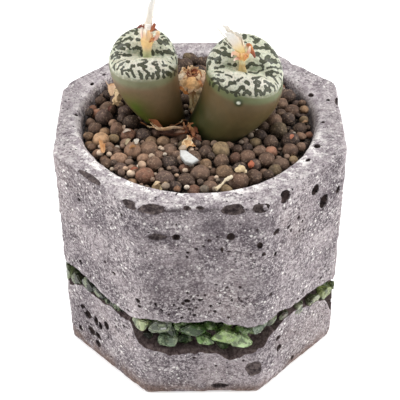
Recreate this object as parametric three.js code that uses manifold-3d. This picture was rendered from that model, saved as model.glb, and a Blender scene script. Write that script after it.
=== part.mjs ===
// A potted conophytum: two heads of fused leaves with spent flowers and a dry seed capsule between
// them, in a bed of dark mineral grains, in an octagonal cast-concrete pot with a band of green
// glass chips let into it. Lengths are in millimetres and +Z is up. The origin is the middle of the
// pot's underside, and the pot's flat front faces -Y.
import * as THREE from "three";
import { mergeVertices } from "three/addons/utils/BufferGeometryUtils.js";
import { ConvexGeometry } from "three/addons/geometries/ConvexGeometry.js";
import Module from "manifold-3d";

const wasm = await Module();
wasm.setup();

// Half the thickness of a dry petal or lobe
const BLADE_HALF = 0.35;

// Pot
const ACROSS_FLATS = 70;
const POT_HEIGHT = 62.4;
const APOTHEM = ACROSS_FLATS / 2;
const FACETS = 8;
const FACET_ANGLE = (2 * Math.PI) / FACETS;
const FRONT_ANGLE = -Math.PI / 2;
const HALF_FACET = APOTHEM * Math.tan(FACET_ANGLE / 2);
const CORNER_RADIUS = 2;
const CORNER_STEPS = 3;
const BASE_BEVEL = 0.7;
const RIM_BEVEL = 0.9;
const FLOOR_THICKNESS = 9;
const FLOOR_RADIUS = 23.5;
const WALL_FOOT_RADIUS = 24.5;
const WALL_FOOT_RISE = 1.5;
const SOIL_LINE = 57.5;
const SOIL_LINE_RADIUS = 28.3;
const LIP_PROFILE = [[28.6, 60.2], [28.9, 61.4], [29.6, 62.1], [30.3, 62.42]];
const MOUTH_X = -0.5;
const DRAIN_RADIUS = 4.5;
const ROUND_STEPS = 48;
const CLEARANCE = 0.35;

// Band of glass chips
const BAND_DEPTH = 5;
const BAND_DEPTH_SPREAD = 0.7;
const BAND_ROOF_FALL = 0.8;
const BAND_FLOOR_RISE = 0.5;
const BAND_STATION = 3;
const BAND_OUTREACH = 1.06;
const BAND_SEED = 11;
// The band's ragged upper and lower edges: facet, distance along it from its middle, height.
// Facet 0 is the front, and the numbers run towards the right and round the back.
const BAND_TOP = [
  [0, -13.9, 27.1], [0, -10.1, 26.3], [0, -5.2, 26.6], [0, -0.4, 27.6], [0, 4.4, 26.5],
  [0, 9.3, 24.0], [0, 11.8, 23.2], [1, -12.7, 22.9], [1, -10.5, 23.7], [1, -7.6, 24.4],
  [1, -3.7, 23.0], [1, 4.0, 22.8], [1, 11.2, 22.0], [1, 13.9, 20.5], [2, -8.0, 21.6],
  [2, -1.0, 23.4], [2, 7.5, 22.2], [3, -11.0, 24.0], [3, -3.0, 23.1], [3, 6.0, 24.8],
  [4, -12.0, 24.2], [4, -4.5, 26.0], [4, 3.0, 25.1], [4, 10.5, 26.7], [5, -7.0, 25.6],
  [5, 1.5, 27.2], [5, 9.5, 26.0], [6, -10.0, 26.9], [6, -2.0, 25.8], [6, 7.0, 26.8],
  [7, -14.5, 26.3], [7, -7.3, 25.8], [7, 0.4, 25.7], [7, 5.9, 25.4], [7, 11.2, 24.0],
];
const BAND_BOTTOM = [
  [0, -14.8, 17.2], [0, -11.6, 15.7], [0, -7.9, 14.1], [0, -0.5, 15.1], [0, 4.5, 14.3],
  [0, 7.0, 12.1], [0, 9.0, 13.5], [0, 13.2, 14.6], [1, -11.0, 17.6], [1, -7.3, 19.6],
  [1, -3.6, 20.4], [1, 0.4, 19.7], [1, 3.6, 18.0], [1, 7.7, 17.3], [1, 10.7, 15.5],
  [1, 14.4, 8.6], [2, -11.5, 12.6], [2, -6.0, 15.9], [2, 2.0, 16.8], [2, 9.0, 14.9],
  [3, -9.0, 17.5], [3, 0.0, 15.6], [3, 8.5, 17.9], [4, -8.0, 16.8], [4, 1.0, 18.4],
  [4, 9.0, 16.2], [5, -9.5, 18.9], [5, -1.0, 17.0], [5, 8.0, 19.6], [6, -11.0, 18.2],
  [6, -3.5, 20.1], [6, 5.5, 18.7], [7, -14.5, 19.9], [7, -6.9, 22.4], [7, -2.8, 21.6],
  [7, 2.9, 23.4], [7, 5.7, 22.6], [7, 9.4, 21.8], [7, 13.4, 17.4],
];

// Pits where air bubbles opened in the cast faces: facet, along, height, width, tall.
const FACE_PITS = [
  [1, -4.6, 57.2, 2.6, 2.2], [1, 1.0, 51.4, 3.2, 3.0], [1, 5.6, 51.4, 1.9, 1.8],
  [1, -7.7, 61.3, 3.6, 2.6], [1, -6.0, 51.2, 1.7, 1.4], [1, -2.8, 52.1, 1.6, 1.5],
  [1, -10.4, 52.4, 2.0, 1.4], [1, -10.2, 45.6, 1.6, 1.9], [1, -11.2, 32.9, 1.5, 1.7],
  [1, -7.5, 14.7, 1.5, 2.2], [1, -1.0, 5.8, 1.9, 1.3], [0, 6.9, 53.5, 2.2, 1.8],
  [0, 1.8, 52.5, 1.4, 1.2], [0, 4.7, 49.7, 1.7, 1.2], [0, 13.0, 50.8, 1.9, 1.5],
  [0, 12.6, 33.6, 1.8, 1.4], [0, 13.2, 9.9, 2.2, 3.4], [0, 4.5, 2.9, 3.6, 1.3],
  [0, -9.9, 53.8, 3.6, 1.5], [0, -5.6, 53.6, 2.5, 2.2], [0, -3.5, 33.4, 1.6, 1.5],
  [0, -12.6, 33.0, 2.2, 1.3], [7, -5.6, 53.2, 2.4, 1.6], [7, 4.0, 48.6, 1.7, 1.4],
  [7, 5.1, 36.3, 1.5, 1.6], [7, -7.3, 13.5, 2.0, 1.6], [7, -4.4, 8.9, 1.8, 1.5],
];
// Pits that open in the rim: polar angle in degrees, distance from the axis, width, tall.
const RIM_PITS = [
  [-137, 35.0, 6.4, 1.8], [-115.5, 36.2, 4.2, 2.0], [-107, 34.8, 5.4, 2.2], [-79, 34.8, 3.4, 2.4],
  [-67, 35.6, 3.2, 2.0], [-30, 33.0, 2.4, 1.8], [44, 35.4, 4.4, 3.0], [172, 33.4, 2.6, 2.0],
];
const STRAY_PITS = 18;
const STRAY_PIT_SEED = 5;
const PIT_DEPTH_SHARE = 0.42;
const BACK_CORNER_ANGLE = 157.5;

// Bed of grains
const BED_EDGE = 58.9;
const BED_CROWN = 0.7;
const BED_FALL_RIGHT = 0.008;
const BED_RISE_BACK = 0.02;
const GRAIN_SEED = 23;
// Grain sizes, largest first: smallest radius, largest radius, how many places are tried.
const GRAIN_SIZES = [[1.9, 2.5, 260], [1.35, 1.85, 2600], [1.1, 1.3, 700]];
const GRAIN_CLOSENESS = 0.82;
const GRAIN_RISE = 0.3;
const GRAIN_LIFT = 0.8;
const GRAIN_WALL_GAP = 0.25;
const ROUND_GRAIN = 1.9;

// Heads: each is a fused leaf pair that widens upwards from the soil to a domed face, which
// is split across by a shallow fissure. Angles are in degrees.
const HEAD_BASE_Z = 59.5;
const HEAD_SIDES = 32;
const HEADS = {
  left: {
    base: [-8.5, 3.2], top: [-13.4, 2.4], rimZ: 78.2, baseRadius: 5.0, rimRadius: 8.3, swell: 1.9,
    depthShare: 0.95, pitch: 15, roll: 0, dome: 4.7, backLift: 0.35, droop: 1.4,
    fissure: [1.1, -1.7], stump: [[51.5, 2.4], [55.5, 3.9]],
  },
  right: {
    base: [4.9, 0.3], top: [11.1, -0.9], rimZ: 77.0, baseRadius: 8.0, rimRadius: 9.45, swell: 3.2,
    depthShare: 0.97, pitch: 15, roll: 14, dome: 4.9, backLift: 0.38, droop: 1.4,
    fissure: [-1.4, -3.0], stump: [[51.5, 3.0], [55.5, 5.8]],
  },
};
const BODY_LEVELS = [0, 0.16, 0.34, 0.54, 0.76];
const FACE_LEVELS = [1, 0.96, 0.88, 0.75, 0.57, 0.37, 0.17];
const FISSURE_DEPTH = 2.6;
const FISSURE_WIDTH = 1.5;
const FLOWER_HOLE = 1.3;

// The face's height over its rim plane, for a point given by its share of the way out.
function faceHeight(head, across, back, share) {
  const rise = head.dome * Math.sqrt(Math.max(0, 1 - share ** 2.6));
  const tilt = 1 + (head.backLift * back) / head.rimRadius;
  const off = (back - head.fissure[1]) / FISSURE_WIDTH;
  const valley = FISSURE_DEPTH * Math.exp(-off * off) * (1 - 0.75 * share ** 2);
  return rise * tilt - valley;
}

const vector = (x, y, z) => new THREE.Vector3(x, y, z);
const degrees = (value) => (value * Math.PI) / 180;
const mix = (low, high, share) => low + (high - low) * share;

// A stream of numbers from 0 to 1 that is the same on each run.
function randomStream(seed) {
  let state = seed;
  return () => {
    state = (Math.imul(state, 1664525) + 1013904223) >>> 0;
    return state / 4294967296;
  };
}

function geometryOf(vertices, faces) {
  const geometry = new THREE.BufferGeometry();
  geometry.setAttribute("position", new THREE.Float32BufferAttribute(vertices.flatMap((v) => v.toArray()), 3));
  geometry.setIndex(faces);
  return geometry;
}

// Rings of equal length, counter-clockwise seen from the far end, joined and closed by a fan.
function loft(rings) {
  const sides = rings[0].length;
  const vertices = rings.flat();
  const faces = [];
  for (let level = 0; level < rings.length - 1; level += 1) {
    for (let side = 0; side < sides; side += 1) {
      const here = level * sides + side;
      const beside = level * sides + ((side + 1) % sides);
      faces.push(here, beside, beside + sides, here, beside + sides, here + sides);
    }
  }
  for (const level of [0, rings.length - 1]) {
    const middle = rings[level].reduce((sum, point) => sum.add(point), vector(0, 0, 0));
    const centre = vertices.push(middle.divideScalar(sides)) - 1;
    for (let side = 0; side < sides; side += 1) {
      const here = level * sides + side;
      const beside = level * sides + ((side + 1) % sides);
      faces.push(...(level ? [here, beside, centre] : [beside, here, centre]));
    }
  }
  return geometryOf(vertices, faces);
}

// A limb along a smooth path. Its section's half-width follows a list, and it is round where it has
// many sides and a flat blade where it has few.
function sweep({ path, wide, thick = BLADE_HALF, up = [0, 1, 0.1], sides = 4, steps = 5 }) {
  const curve = new THREE.CatmullRomCurve3(path.map((point) => vector(...point)));
  const rings = [];
  for (let step = 0; step <= steps; step += 1) {
    const share = step / steps;
    const centre = curve.getPoint(share);
    const along = curve.getTangent(share);
    const side = vector(...up).cross(along).normalize();
    const face = along.clone().cross(side);
    const ring = [];
    for (let turn = 0; turn < sides; turn += 1) {
      const angle = (2 * Math.PI * turn) / sides;
      const width = sampled(wide, share);
      const depth = sides > 4 ? width : Math.min(width, thick);
      ring.push(centre.clone()
        .addScaledVector(side, Math.cos(angle) * width)
        .addScaledVector(face, Math.sin(angle) * depth));
    }
    rings.push(ring);
  }
  return loft(rings);
}

// A value read from a list spread evenly from share 0 to share 1.
function sampled(list, share) {
  const place = share * (list.length - 1);
  const low = Math.min(Math.floor(place), list.length - 2);
  return mix(list[low], list[low + 1], place - low);
}

function solid(geometry) {
  const bare = geometry.clone();
  for (const name of Object.keys(bare.attributes)) {
    if (name !== "position") bare.deleteAttribute(name);
  }
  const merged = mergeVertices(bare, 1e-4);
  return new wasm.Manifold(new wasm.Mesh({
    numProp: 3,
    vertProperties: new Float32Array(merged.attributes.position.array),
    triVerts: new Uint32Array(merged.index.array),
  }));
}

function surface(body) {
  const mesh = body.getMesh();
  const geometry = new THREE.BufferGeometry();
  geometry.setAttribute("position", new THREE.BufferAttribute(new Float32Array(mesh.vertProperties), 3));
  geometry.setIndex(new THREE.BufferAttribute(new Uint32Array(mesh.triVerts), 1));
  geometry.computeVertexNormals();
  return geometry;
}

const united = (geometries) => geometries.map(solid).reduce((all, one) => all.add(one));

// The largest body of a solid, without the scraps that a cut left loose.
function largest(body) {
  return body.decompose().reduce((best, one) => (one.volume() > best.volume() ? one : best));
}

// Pot
function facetPoint(facet, along, scale, z) {
  const normal = FRONT_ANGLE + facet * FACET_ANGLE;
  const x = APOTHEM * Math.cos(normal) - along * Math.sin(normal);
  const y = APOTHEM * Math.sin(normal) + along * Math.cos(normal);
  return vector(x * scale, y * scale, z);
}

function octagonRing(inset, z) {
  const ring = [];
  const corner = APOTHEM / Math.cos(FACET_ANGLE / 2);
  const roundCentre = corner - CORNER_RADIUS / Math.cos(FACET_ANGLE / 2);
  for (let facet = 0; facet < FACETS; facet += 1) {
    const middle = FRONT_ANGLE + (facet + 0.5) * FACET_ANGLE;
    for (let step = 0; step <= CORNER_STEPS; step += 1) {
      const turn = middle + (step / CORNER_STEPS - 0.5) * FACET_ANGLE;
      const x = roundCentre * Math.cos(middle) + (CORNER_RADIUS - inset) * Math.cos(turn);
      const y = roundCentre * Math.sin(middle) + (CORNER_RADIUS - inset) * Math.sin(turn);
      ring.push(vector(x, y, z));
    }
  }
  return ring;
}

function turned(profile, steps) {
  const lathe = new THREE.LatheGeometry(profile.map(([r, z]) => new THREE.Vector2(r, z)), steps);
  return lathe.rotateX(Math.PI / 2);
}

// The inside of the pot, narrower than its wall by the clearance.
function insideProfile(clearance) {
  return [
    [0, FLOOR_THICKNESS + clearance],
    [FLOOR_RADIUS - clearance, FLOOR_THICKNESS + clearance],
    [WALL_FOOT_RADIUS - clearance, FLOOR_THICKNESS + WALL_FOOT_RISE],
    [SOIL_LINE_RADIUS - clearance, SOIL_LINE],
  ];
}

function cavity() {
  const mouthRadius = LIP_PROFILE.at(-1)[0];
  const profile = [
    ...insideProfile(0),
    ...LIP_PROFILE,
    [mouthRadius, POT_HEIGHT + 2],
    [0, POT_HEIGHT + 2],
  ];
  return turned(profile, ROUND_STEPS).translate(MOUTH_X, 0, 0);
}

// Where an edge of the band lies at a distance round the pot.
const ROUND_LENGTH = FACETS * 2 * HALF_FACET;
const roundPlace = (facet, along) => facet * 2 * HALF_FACET + along;
function edgeHeight(edge, place) {
  const points = edge.map(([facet, along, z]) => [roundPlace(facet, along), z]);
  const before = points.at(-1);
  const after = points[0];
  points.sort((a, b) => a[0] - b[0]);
  points.unshift([before[0] - ROUND_LENGTH, before[1]]);
  points.push([after[0] + ROUND_LENGTH, after[1]]);
  const next = points.findIndex(([at]) => at > place);
  const [low, high] = [points[next - 1], points[next]];
  return mix(low[1], high[1], (place - low[0]) / (high[0] - low[0]));
}

// The ring-shaped space of the band, with each face drawn in by the inset.
function bandSpace(inset, outer) {
  const random = randomStream(BAND_SEED);
  const vertices = [];
  const faces = [];
  const perFacet = Math.round((2 * HALF_FACET) / BAND_STATION);
  const stations = FACETS * perFacet;
  for (let station = 0; station < stations; station += 1) {
    const facet = Math.floor(station / perFacet);
    const along = ((station % perFacet) / perFacet * 2 - 1) * HALF_FACET;
    const place = roundPlace(facet, along);
    const depth = BAND_DEPTH - BAND_DEPTH_SPREAD * random() - inset;
    const low = edgeHeight(BAND_BOTTOM, place) + inset;
    const high = Math.max(edgeHeight(BAND_TOP, place) - inset, low + 0.3);
    const inner = 1 - depth / APOTHEM;
    const roof = Math.max(high - BAND_ROOF_FALL, low + BAND_FLOOR_RISE + 0.2);
    vertices.push(
      facetPoint(facet, along, outer, low),
      facetPoint(facet, along, outer, high),
      facetPoint(facet, along, inner, roof),
      facetPoint(facet, along, inner, Math.min(low + BAND_FLOOR_RISE, roof - 0.15)),
    );
    for (let side = 0; side < 4; side += 1) {
      const here = station * 4 + side;
      const beside = station * 4 + ((side + 1) % 4);
      const ahead = ((station + 1) % stations) * 4 - station * 4;
      faces.push(here, here + ahead, beside + ahead, here, beside + ahead, beside);
    }
  }
  return geometryOf(vertices, faces);
}

function pitCutter(centre, outward, wide, tall, random) {
  const pit = new THREE.IcosahedronGeometry(1, 0);
  pit.rotateX(random() * Math.PI).rotateY(random() * Math.PI);
  const depth = PIT_DEPTH_SHARE * (wide + tall);
  pit.scale(wide / 2, depth / 2, tall / 2);
  pit.rotateZ(outward + Math.PI / 2);
  return pit.translate(centre.x, centre.y, centre.z);
}

function pitCutters() {
  const random = randomStream(STRAY_PIT_SEED);
  const pits = [];
  for (const [facet, along, z, wide, tall] of FACE_PITS) {
    pits.push(pitCutter(facetPoint(facet, along, 1, z), FRONT_ANGLE + facet * FACET_ANGLE, wide, tall, random));
  }
  for (const [angle, distance, wide, tall] of RIM_PITS) {
    const turn = degrees(angle);
    const centre = vector(distance * Math.cos(turn), distance * Math.sin(turn), POT_HEIGHT);
    pits.push(pitCutter(centre, turn, wide, tall, random));
  }
  for (let stray = 0; stray < STRAY_PITS; stray += 1) {
    const facet = 1 + Math.floor(random() * (FACETS - 1));
    const along = (random() * 1.8 - 0.9) * HALF_FACET;
    const z = random() < 0.7 ? mix(31, 59, random()) : mix(2.5, 11, random());
    const wide = mix(1.3, 2.6, random() ** 2);
    const tall = wide * mix(0.7, 1.1, random());
    pits.push(pitCutter(facetPoint(facet, along, 1, z), FRONT_ANGLE + facet * FACET_ANGLE, wide, tall, random));
  }
  return pits;
}

// The worn place on the corner at the back left.
function wornCorner() {
  const turn = degrees(BACK_CORNER_ANGLE);
  const worn = new THREE.IcosahedronGeometry(1, 0).scale(3.4, 4.2, 4.6);
  const reach = APOTHEM / Math.cos(FACET_ANGLE / 2) + 1.6;
  return worn.rotateZ(turn).translate(reach * Math.cos(turn), reach * Math.sin(turn), POT_HEIGHT + 1.6);
}

function potBody() {
  const outside = loft([
    octagonRing(BASE_BEVEL, 0),
    octagonRing(0, BASE_BEVEL),
    octagonRing(0, POT_HEIGHT - RIM_BEVEL),
    octagonRing(RIM_BEVEL, POT_HEIGHT),
  ]);
  const drain = new THREE.CylinderGeometry(DRAIN_RADIUS, DRAIN_RADIUS, 3 * FLOOR_THICKNESS, 24);
  drain.rotateX(Math.PI / 2);
  const cuts = [cavity(), drain, bandSpace(0, BAND_OUTREACH), wornCorner(), ...pitCutters()];
  return largest(solid(outside).subtract(united(cuts)));
}

// Heads
function headCentre(head, share) {
  const left = (1 - share) ** 2;
  return [mix(head.top[0], head.base[0], left), mix(head.top[1], head.base[1], left)];
}

function headRadius(head, share) {
  return head.rimRadius - (head.rimRadius - head.baseRadius) * (1 - share) ** head.swell;
}

// The head's ring at a share of the way from the soil to the rim, grown outwards.
function headRing(head, share, grow) {
  const [x, y] = headCentre(head, share);
  const radius = headRadius(head, share) + grow;
  const tilt = rimTilt(head, share);
  const z = mix(HEAD_BASE_Z, head.rimZ, share);
  const depth = mix(1, head.depthShare, share);
  return ringOf((angle) => {
    const sag = -head.droop * share ** 3 * Math.cos(angle) ** 2;
    const point = vector(radius * Math.cos(angle), radius * depth * Math.sin(angle), sag);
    return point.applyEuler(tilt).add(vector(x, y, z));
  });
}

function rimTilt(head, share) {
  return new THREE.Euler(degrees(head.pitch) * share ** 1.5, degrees(head.roll) * share ** 1.5, 0, "YXZ");
}

function ringOf(pointAt) {
  return Array.from({ length: HEAD_SIDES }, (_, side) => pointAt((2 * Math.PI * side) / HEAD_SIDES));
}

function stumpRings(head, grow) {
  return head.stump.map(([z, radius], level) => {
    const drop = level ? 0 : grow;
    return ringOf((angle) => vector(
      head.base[0] + (radius + grow) * Math.cos(angle),
      head.base[1] + (radius + grow) * Math.sin(angle),
      z - drop,
    ));
  });
}

// A point of the face, at a share of the way from the fissure's middle out to the rim.
function facePoint(head, angle, share) {
  const rimAcross = head.rimRadius * Math.cos(angle);
  const rimBack = head.rimRadius * head.depthShare * Math.sin(angle);
  const across = mix(head.fissure[0], rimAcross, share);
  const back = mix(head.fissure[1], rimBack, share);
  const sag = -head.droop * share ** 3 * Math.cos(angle) ** 2;
  const point = vector(across, back, faceHeight(head, across, back, share) + sag);
  return point.applyEuler(rimTilt(head, 1)).add(vector(head.top[0], head.top[1], head.rimZ));
}

function headBody(head, hole) {
  const rings = [
    ...stumpRings(head, 0),
    ...BODY_LEVELS.map((share) => headRing(head, share, 0)),
    ...FACE_LEVELS.map((share) => ringOf((angle) => facePoint(head, angle, share))),
  ];
  return solid(loft(rings)).subtract(solid(hole));
}

// The hole in the bed that a head's foot stands in.
function headHole(head) {
  const rings = [
    ...stumpRings(head, CLEARANCE),
    ...[0, 0.16, 0.34].map((share) => headRing(head, share, CLEARANCE)),
  ];
  return loft(rings);
}

// Spent flowers
function fissureFoot(head) {
  return facePoint(head, 0, 0).toArray();
}

// A path given by steps from a foot.
const from = (foot, steps) => steps.map(([x, y, z]) => [foot[0] + x, foot[1] + y, foot[2] + z]);

const FLOWER_ROOT = -1.2;
const TUBE_SIDES = 7;
const LEFT_FLOWER = [
  // The tube out of the fissure and the swollen, withered middle.
  { path: [[0, 0, FLOWER_ROOT], [0, 0, 1.4], [0.1, 0, 3]], wide: [0.75, 0.8, 0.9], sides: TUBE_SIDES, steps: 3 },
  { path: [[0.1, 0, 2.6], [0.2, 0, 5], [0.4, 0.1, 8.4]], wide: [0.85, 1.2, 1.0], sides: TUBE_SIDES, steps: 3 },
  // The pale dried petals, twisted together and rising to a ragged tip.
  { path: [[0.3, 0, 7], [0.8, 0.3, 10], [1.8, 0.7, 14], [2.8, 1.2, 18.6]], wide: [0.9, 0.7, 0.65, 0.3], thick: 0.5 },
  { path: [[0.6, 0.3, 8], [1.3, 0.8, 11.5], [2.6, 0.5, 15.6]], wide: [0.6, 0.6, 0.3], up: [1, 0, 0] },
  { path: [[0.1, 0.5, 8], [0.2, 0.9, 11.4], [1.0, 1.2, 14]], wide: [0.6, 0.6, 0.3], up: [1, 1, 0] },
  // Curled lobes round the top of the withered middle.
  { path: [[0, -0.2, 7], [-0.9, -0.3, 8.2], [-1.8, -0.2, 8.3]], wide: [0.7, 0.6, 0.35] },
  { path: [[0.5, -0.3, 6.8], [1.5, -0.5, 7.8], [2.4, -0.3, 8.9]], wide: [0.7, 0.6, 0.35] },
  { path: [[0.6, -0.3, 4.6], [2.0, -0.7, 5.4], [3.1, -0.8, 6.8], [2.3, -0.9, 7.6]], wide: [0.6, 0.7, 0.6, 0.35] },
  { path: [[0.1, 0.8, 6.6], [-0.5, 1.9, 7.7], [-0.8, 2.6, 7.0]], wide: [0.7, 0.6, 0.35], up: [1, 0, 0.2] },
];
const RIGHT_FLOWER = [
  { path: [[0, 0, FLOWER_ROOT], [0, 0, 1.2], [0.1, 0, 3]], wide: [0.75, 0.75, 1.0], sides: TUBE_SIDES, steps: 3 },
  { path: [[0.1, 0, 2.6], [0.1, 0, 4], [0.1, 0, 5.6]], wide: [0.95, 1.35, 1.2], sides: TUBE_SIDES, steps: 3 },
  // The long pale petal that leans up to the left, and its fellows behind it.
  { path: [[0, 0, 4.8], [-1.2, 0.2, 7], [-3.2, 0.5, 9.4], [-5.4, 0.9, 11.8]], wide: [0.9, 1.0, 0.8, 0.35], thick: 0.4 },
  { path: [[-0.2, 0.4, 4.8], [-1.4, 0.8, 8], [-3.8, 1.2, 12]], wide: [0.7, 0.6, 0.3] },
  { path: [[0.2, 0.6, 4.8], [-0.2, 1.2, 8.2], [-1.2, 1.6, 11.2]], wide: [0.8, 0.7, 0.35] },
  // The dark petal that rises and bends down to the right.
  {
    path: [[0.2, 0, 4.8], [0.3, 0, 7.9], [0.9, -0.2, 8.9], [2.0, -0.5, 6.6], [2.8, -0.7, 4.4]],
    wide: [0.5, 0.55, 0.6, 0.55, 0.35], steps: 8,
  },
  // Small curled lobes.
  { path: [[-0.4, -0.4, 4.4], [-1.6, -0.8, 5.4], [-2.4, -0.9, 4.4]], wide: [0.6, 0.6, 0.35] },
  { path: [[0.3, -0.6, 4.4], [0.9, -1.3, 5.6], [1.4, -1.8, 5.1]], wide: [0.7, 0.6, 0.35], up: [1, 0, 0.2] },
  { path: [[-0.2, 0.8, 4.4], [-0.7, 1.8, 5.2], [-0.9, 2.2, 4.2]], wide: [0.7, 0.6, 0.35], up: [1, 0, 0.2] },
];

function flowerBody(foot, limbs) {
  return united(limbs.map((limb) => sweep({ ...limb, path: from(foot, limb.path) })));
}

function flowerHole(foot) {
  const hole = new THREE.CylinderGeometry(FLOWER_HOLE, FLOWER_HOLE, 6, 12).rotateX(Math.PI / 2);
  return hole.translate(foot[0], foot[1], foot[2] + FLOWER_ROOT - CLEARANCE + 3);
}

// Dry seed capsule on its stalk, between the heads
const CAPSULE_CENTRE = [-1.7, 4.2, 68.4];
const CAPSULE_STALK = [[-1.4, 7.0, 53], [-1.4, 7.0, 59], [-1.5, 6.0, 64], [-1.7, 4.3, 67.4]];
const CAPSULE_STALK_RADIUS = 0.8;
const CAPSULE_CUP = [[0, -1.2], [0.9, -1.1], [2.1, 0.2], [2.6, 1.8], [1.9, 1.8], [1.2, 0.6], [0, 0.4]];
const CAPSULE_LOBES = 6;
const CAPSULE_THREADS = 4;

function capsuleBody() {
  const stalk = sweep({
    path: CAPSULE_STALK, wide: [CAPSULE_STALK_RADIUS, CAPSULE_STALK_RADIUS], sides: TUBE_SIDES,
  });
  const cup = turned(CAPSULE_CUP, 10);
  const pieces = [stalk, cup.translate(...CAPSULE_CENTRE)];
  for (let lobe = 0; lobe < CAPSULE_LOBES; lobe += 1) {
    const turn = (2 * Math.PI * lobe) / CAPSULE_LOBES + 0.3;
    const [out, aside] = [Math.cos(turn), Math.sin(turn)];
    const lean = lobe % 2 ? 1 : 0.86;
    pieces.push(sweep({
      path: from(CAPSULE_CENTRE, [
        [out * 1.5, aside * 1.5, -0.2],
        [out * 2.5 * lean, aside * 2.5 * lean, 1.7],
        [out * 2.7 * lean, aside * 2.7 * lean, 3.9 * lean],
      ]),
      wide: [1.0, 1.25, 0.6], up: [out, aside, 0], steps: 4,
    }));
  }
  for (let thread = 0; thread < CAPSULE_THREADS; thread += 1) {
    const turn = 1.1 + (2 * Math.PI * thread) / CAPSULE_THREADS;
    pieces.push(sweep({
      path: from(CAPSULE_CENTRE, [
        [0.3 * Math.cos(turn), 0.3 * Math.sin(turn), 0.2],
        [0.9 * Math.cos(turn), 0.9 * Math.sin(turn), 2.4],
        [1.5 * Math.cos(turn + 0.6), 1.5 * Math.sin(turn + 0.6), 3.9],
      ]),
      wide: [0.35, 0.3], steps: 3, up: [0.3, 1, 0],
    }));
  }
  return united(pieces);
}

function capsuleHole() {
  const radius = CAPSULE_STALK_RADIUS + CLEARANCE;
  const hole = new THREE.CylinderGeometry(radius, radius, 12, 10).rotateX(Math.PI / 2);
  return hole.translate(CAPSULE_STALK[0][0], CAPSULE_STALK[0][1], CAPSULE_STALK[0][2] - CLEARANCE + 6);
}

// Dry sheath: papery remains of last year's leaves round the foot of the left head
const SHEATH_FROM = 214;
const SHEATH_TO = 338;
const SHEATH_STEPS = 12;
const SHEATH_THICKNESS = 0.6;
const SHEATH_LEVELS = [[59.8, 0], [61.1, 0.12], [62.3, 0.8]];

function sheathStrip(grow) {
  const head = HEADS.left;
  const rings = [];
  for (let step = 0; step <= SHEATH_STEPS; step += 1) {
    const share = step / SHEATH_STEPS;
    const reach = grow ? mix(-2, 2, share) : 0;
    const angle = degrees(mix(SHEATH_FROM, SHEATH_TO, share) + reach);
    const wave = 0.35 * Math.sin(9 * share) + 0.25 * Math.sin(23 * share);
    const taper = Math.sin(Math.PI * mix(0.12, 0.88, share));
    const inner = [];
    const outer = [];
    for (const [z, flare] of SHEATH_LEVELS) {
      const height = HEAD_BASE_Z + (z - HEAD_BASE_Z) * taper + (z > HEAD_BASE_Z ? wave * 0.5 : -grow);
      const rise = (height - HEAD_BASE_Z) / (head.rimZ - HEAD_BASE_Z);
      const [x, y] = headCentre(head, Math.max(0, rise));
      const near = headRadius(head, Math.max(0, rise)) + CLEARANCE + flare * taper + 0.15 - grow;
      const far = near + SHEATH_THICKNESS + 2 * grow;
      const top = z === SHEATH_LEVELS.at(-1)[0] ? grow : 0;
      inner.push(vector(x + near * Math.cos(angle), y + near * Math.sin(angle), height + top));
      outer.push(vector(x + far * Math.cos(angle), y + far * Math.sin(angle), height + top));
    }
    rings.push([...outer, ...inner.reverse()]);
  }
  return loft(rings.reverse());
}

// Bed of grains
function bedHeight(x, y) {
  const crown = BED_CROWN * (1 - (x * x + y * y) / SOIL_LINE_RADIUS ** 2);
  return BED_EDGE + crown - BED_FALL_RIGHT * x + BED_RISE_BACK * y;
}

// Whether a grain there would press into a head, the stalk or the sheath.
function blocked(x, y, radius) {
  const top = bedHeight(x, y) + radius * (GRAIN_RISE + 0.6);
  for (const head of Object.values(HEADS)) {
    const share = Math.max(0, (top - HEAD_BASE_Z) / (head.rimZ - HEAD_BASE_Z));
    const [headX, headY] = headCentre(head, share);
    if (Math.hypot(x - headX, y - headY) < headRadius(head, share) + 0.92 * radius) return true;
  }
  const [stalkX, stalkY] = CAPSULE_STALK[0];
  if (Math.hypot(x - stalkX, y - stalkY) < CAPSULE_STALK_RADIUS + radius) return true;
  const [sheathX, sheathY] = [x - HEADS.left.base[0], y - HEADS.left.base[1]];
  const turn = (Math.atan2(sheathY, sheathX) * 180) / Math.PI + 360;
  const beside = turn > SHEATH_FROM && turn < SHEATH_TO;
  return beside && Math.hypot(sheathX, sheathY) < HEADS.left.baseRadius + 1.5 + 0.8 * radius;
}

function grains() {
  const random = randomStream(GRAIN_SEED);
  const placed = [];
  for (const [smallest, biggest, tries] of GRAIN_SIZES) {
    for (let attempt = 0; attempt < tries; attempt += 1) {
      const radius = mix(smallest, biggest, random());
      const angle = 2 * Math.PI * random();
      const distance = (SOIL_LINE_RADIUS - GRAIN_WALL_GAP - radius) * Math.sqrt(random());
      const lift = GRAIN_LIFT * random();
      const [x, y] = [MOUTH_X + distance * Math.cos(angle), distance * Math.sin(angle)];
      if (blocked(x, y, radius)) continue;
      const crowded = placed.some((other) =>
        Math.hypot(x - other.x, y - other.y) < GRAIN_CLOSENESS * (radius + other.radius));
      if (crowded) continue;
      placed.push({ x, y, z: bedHeight(x, y) + GRAIN_RISE * radius + lift, radius });
    }
  }
  return placed;
}

const GRAINS = grains();

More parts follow.
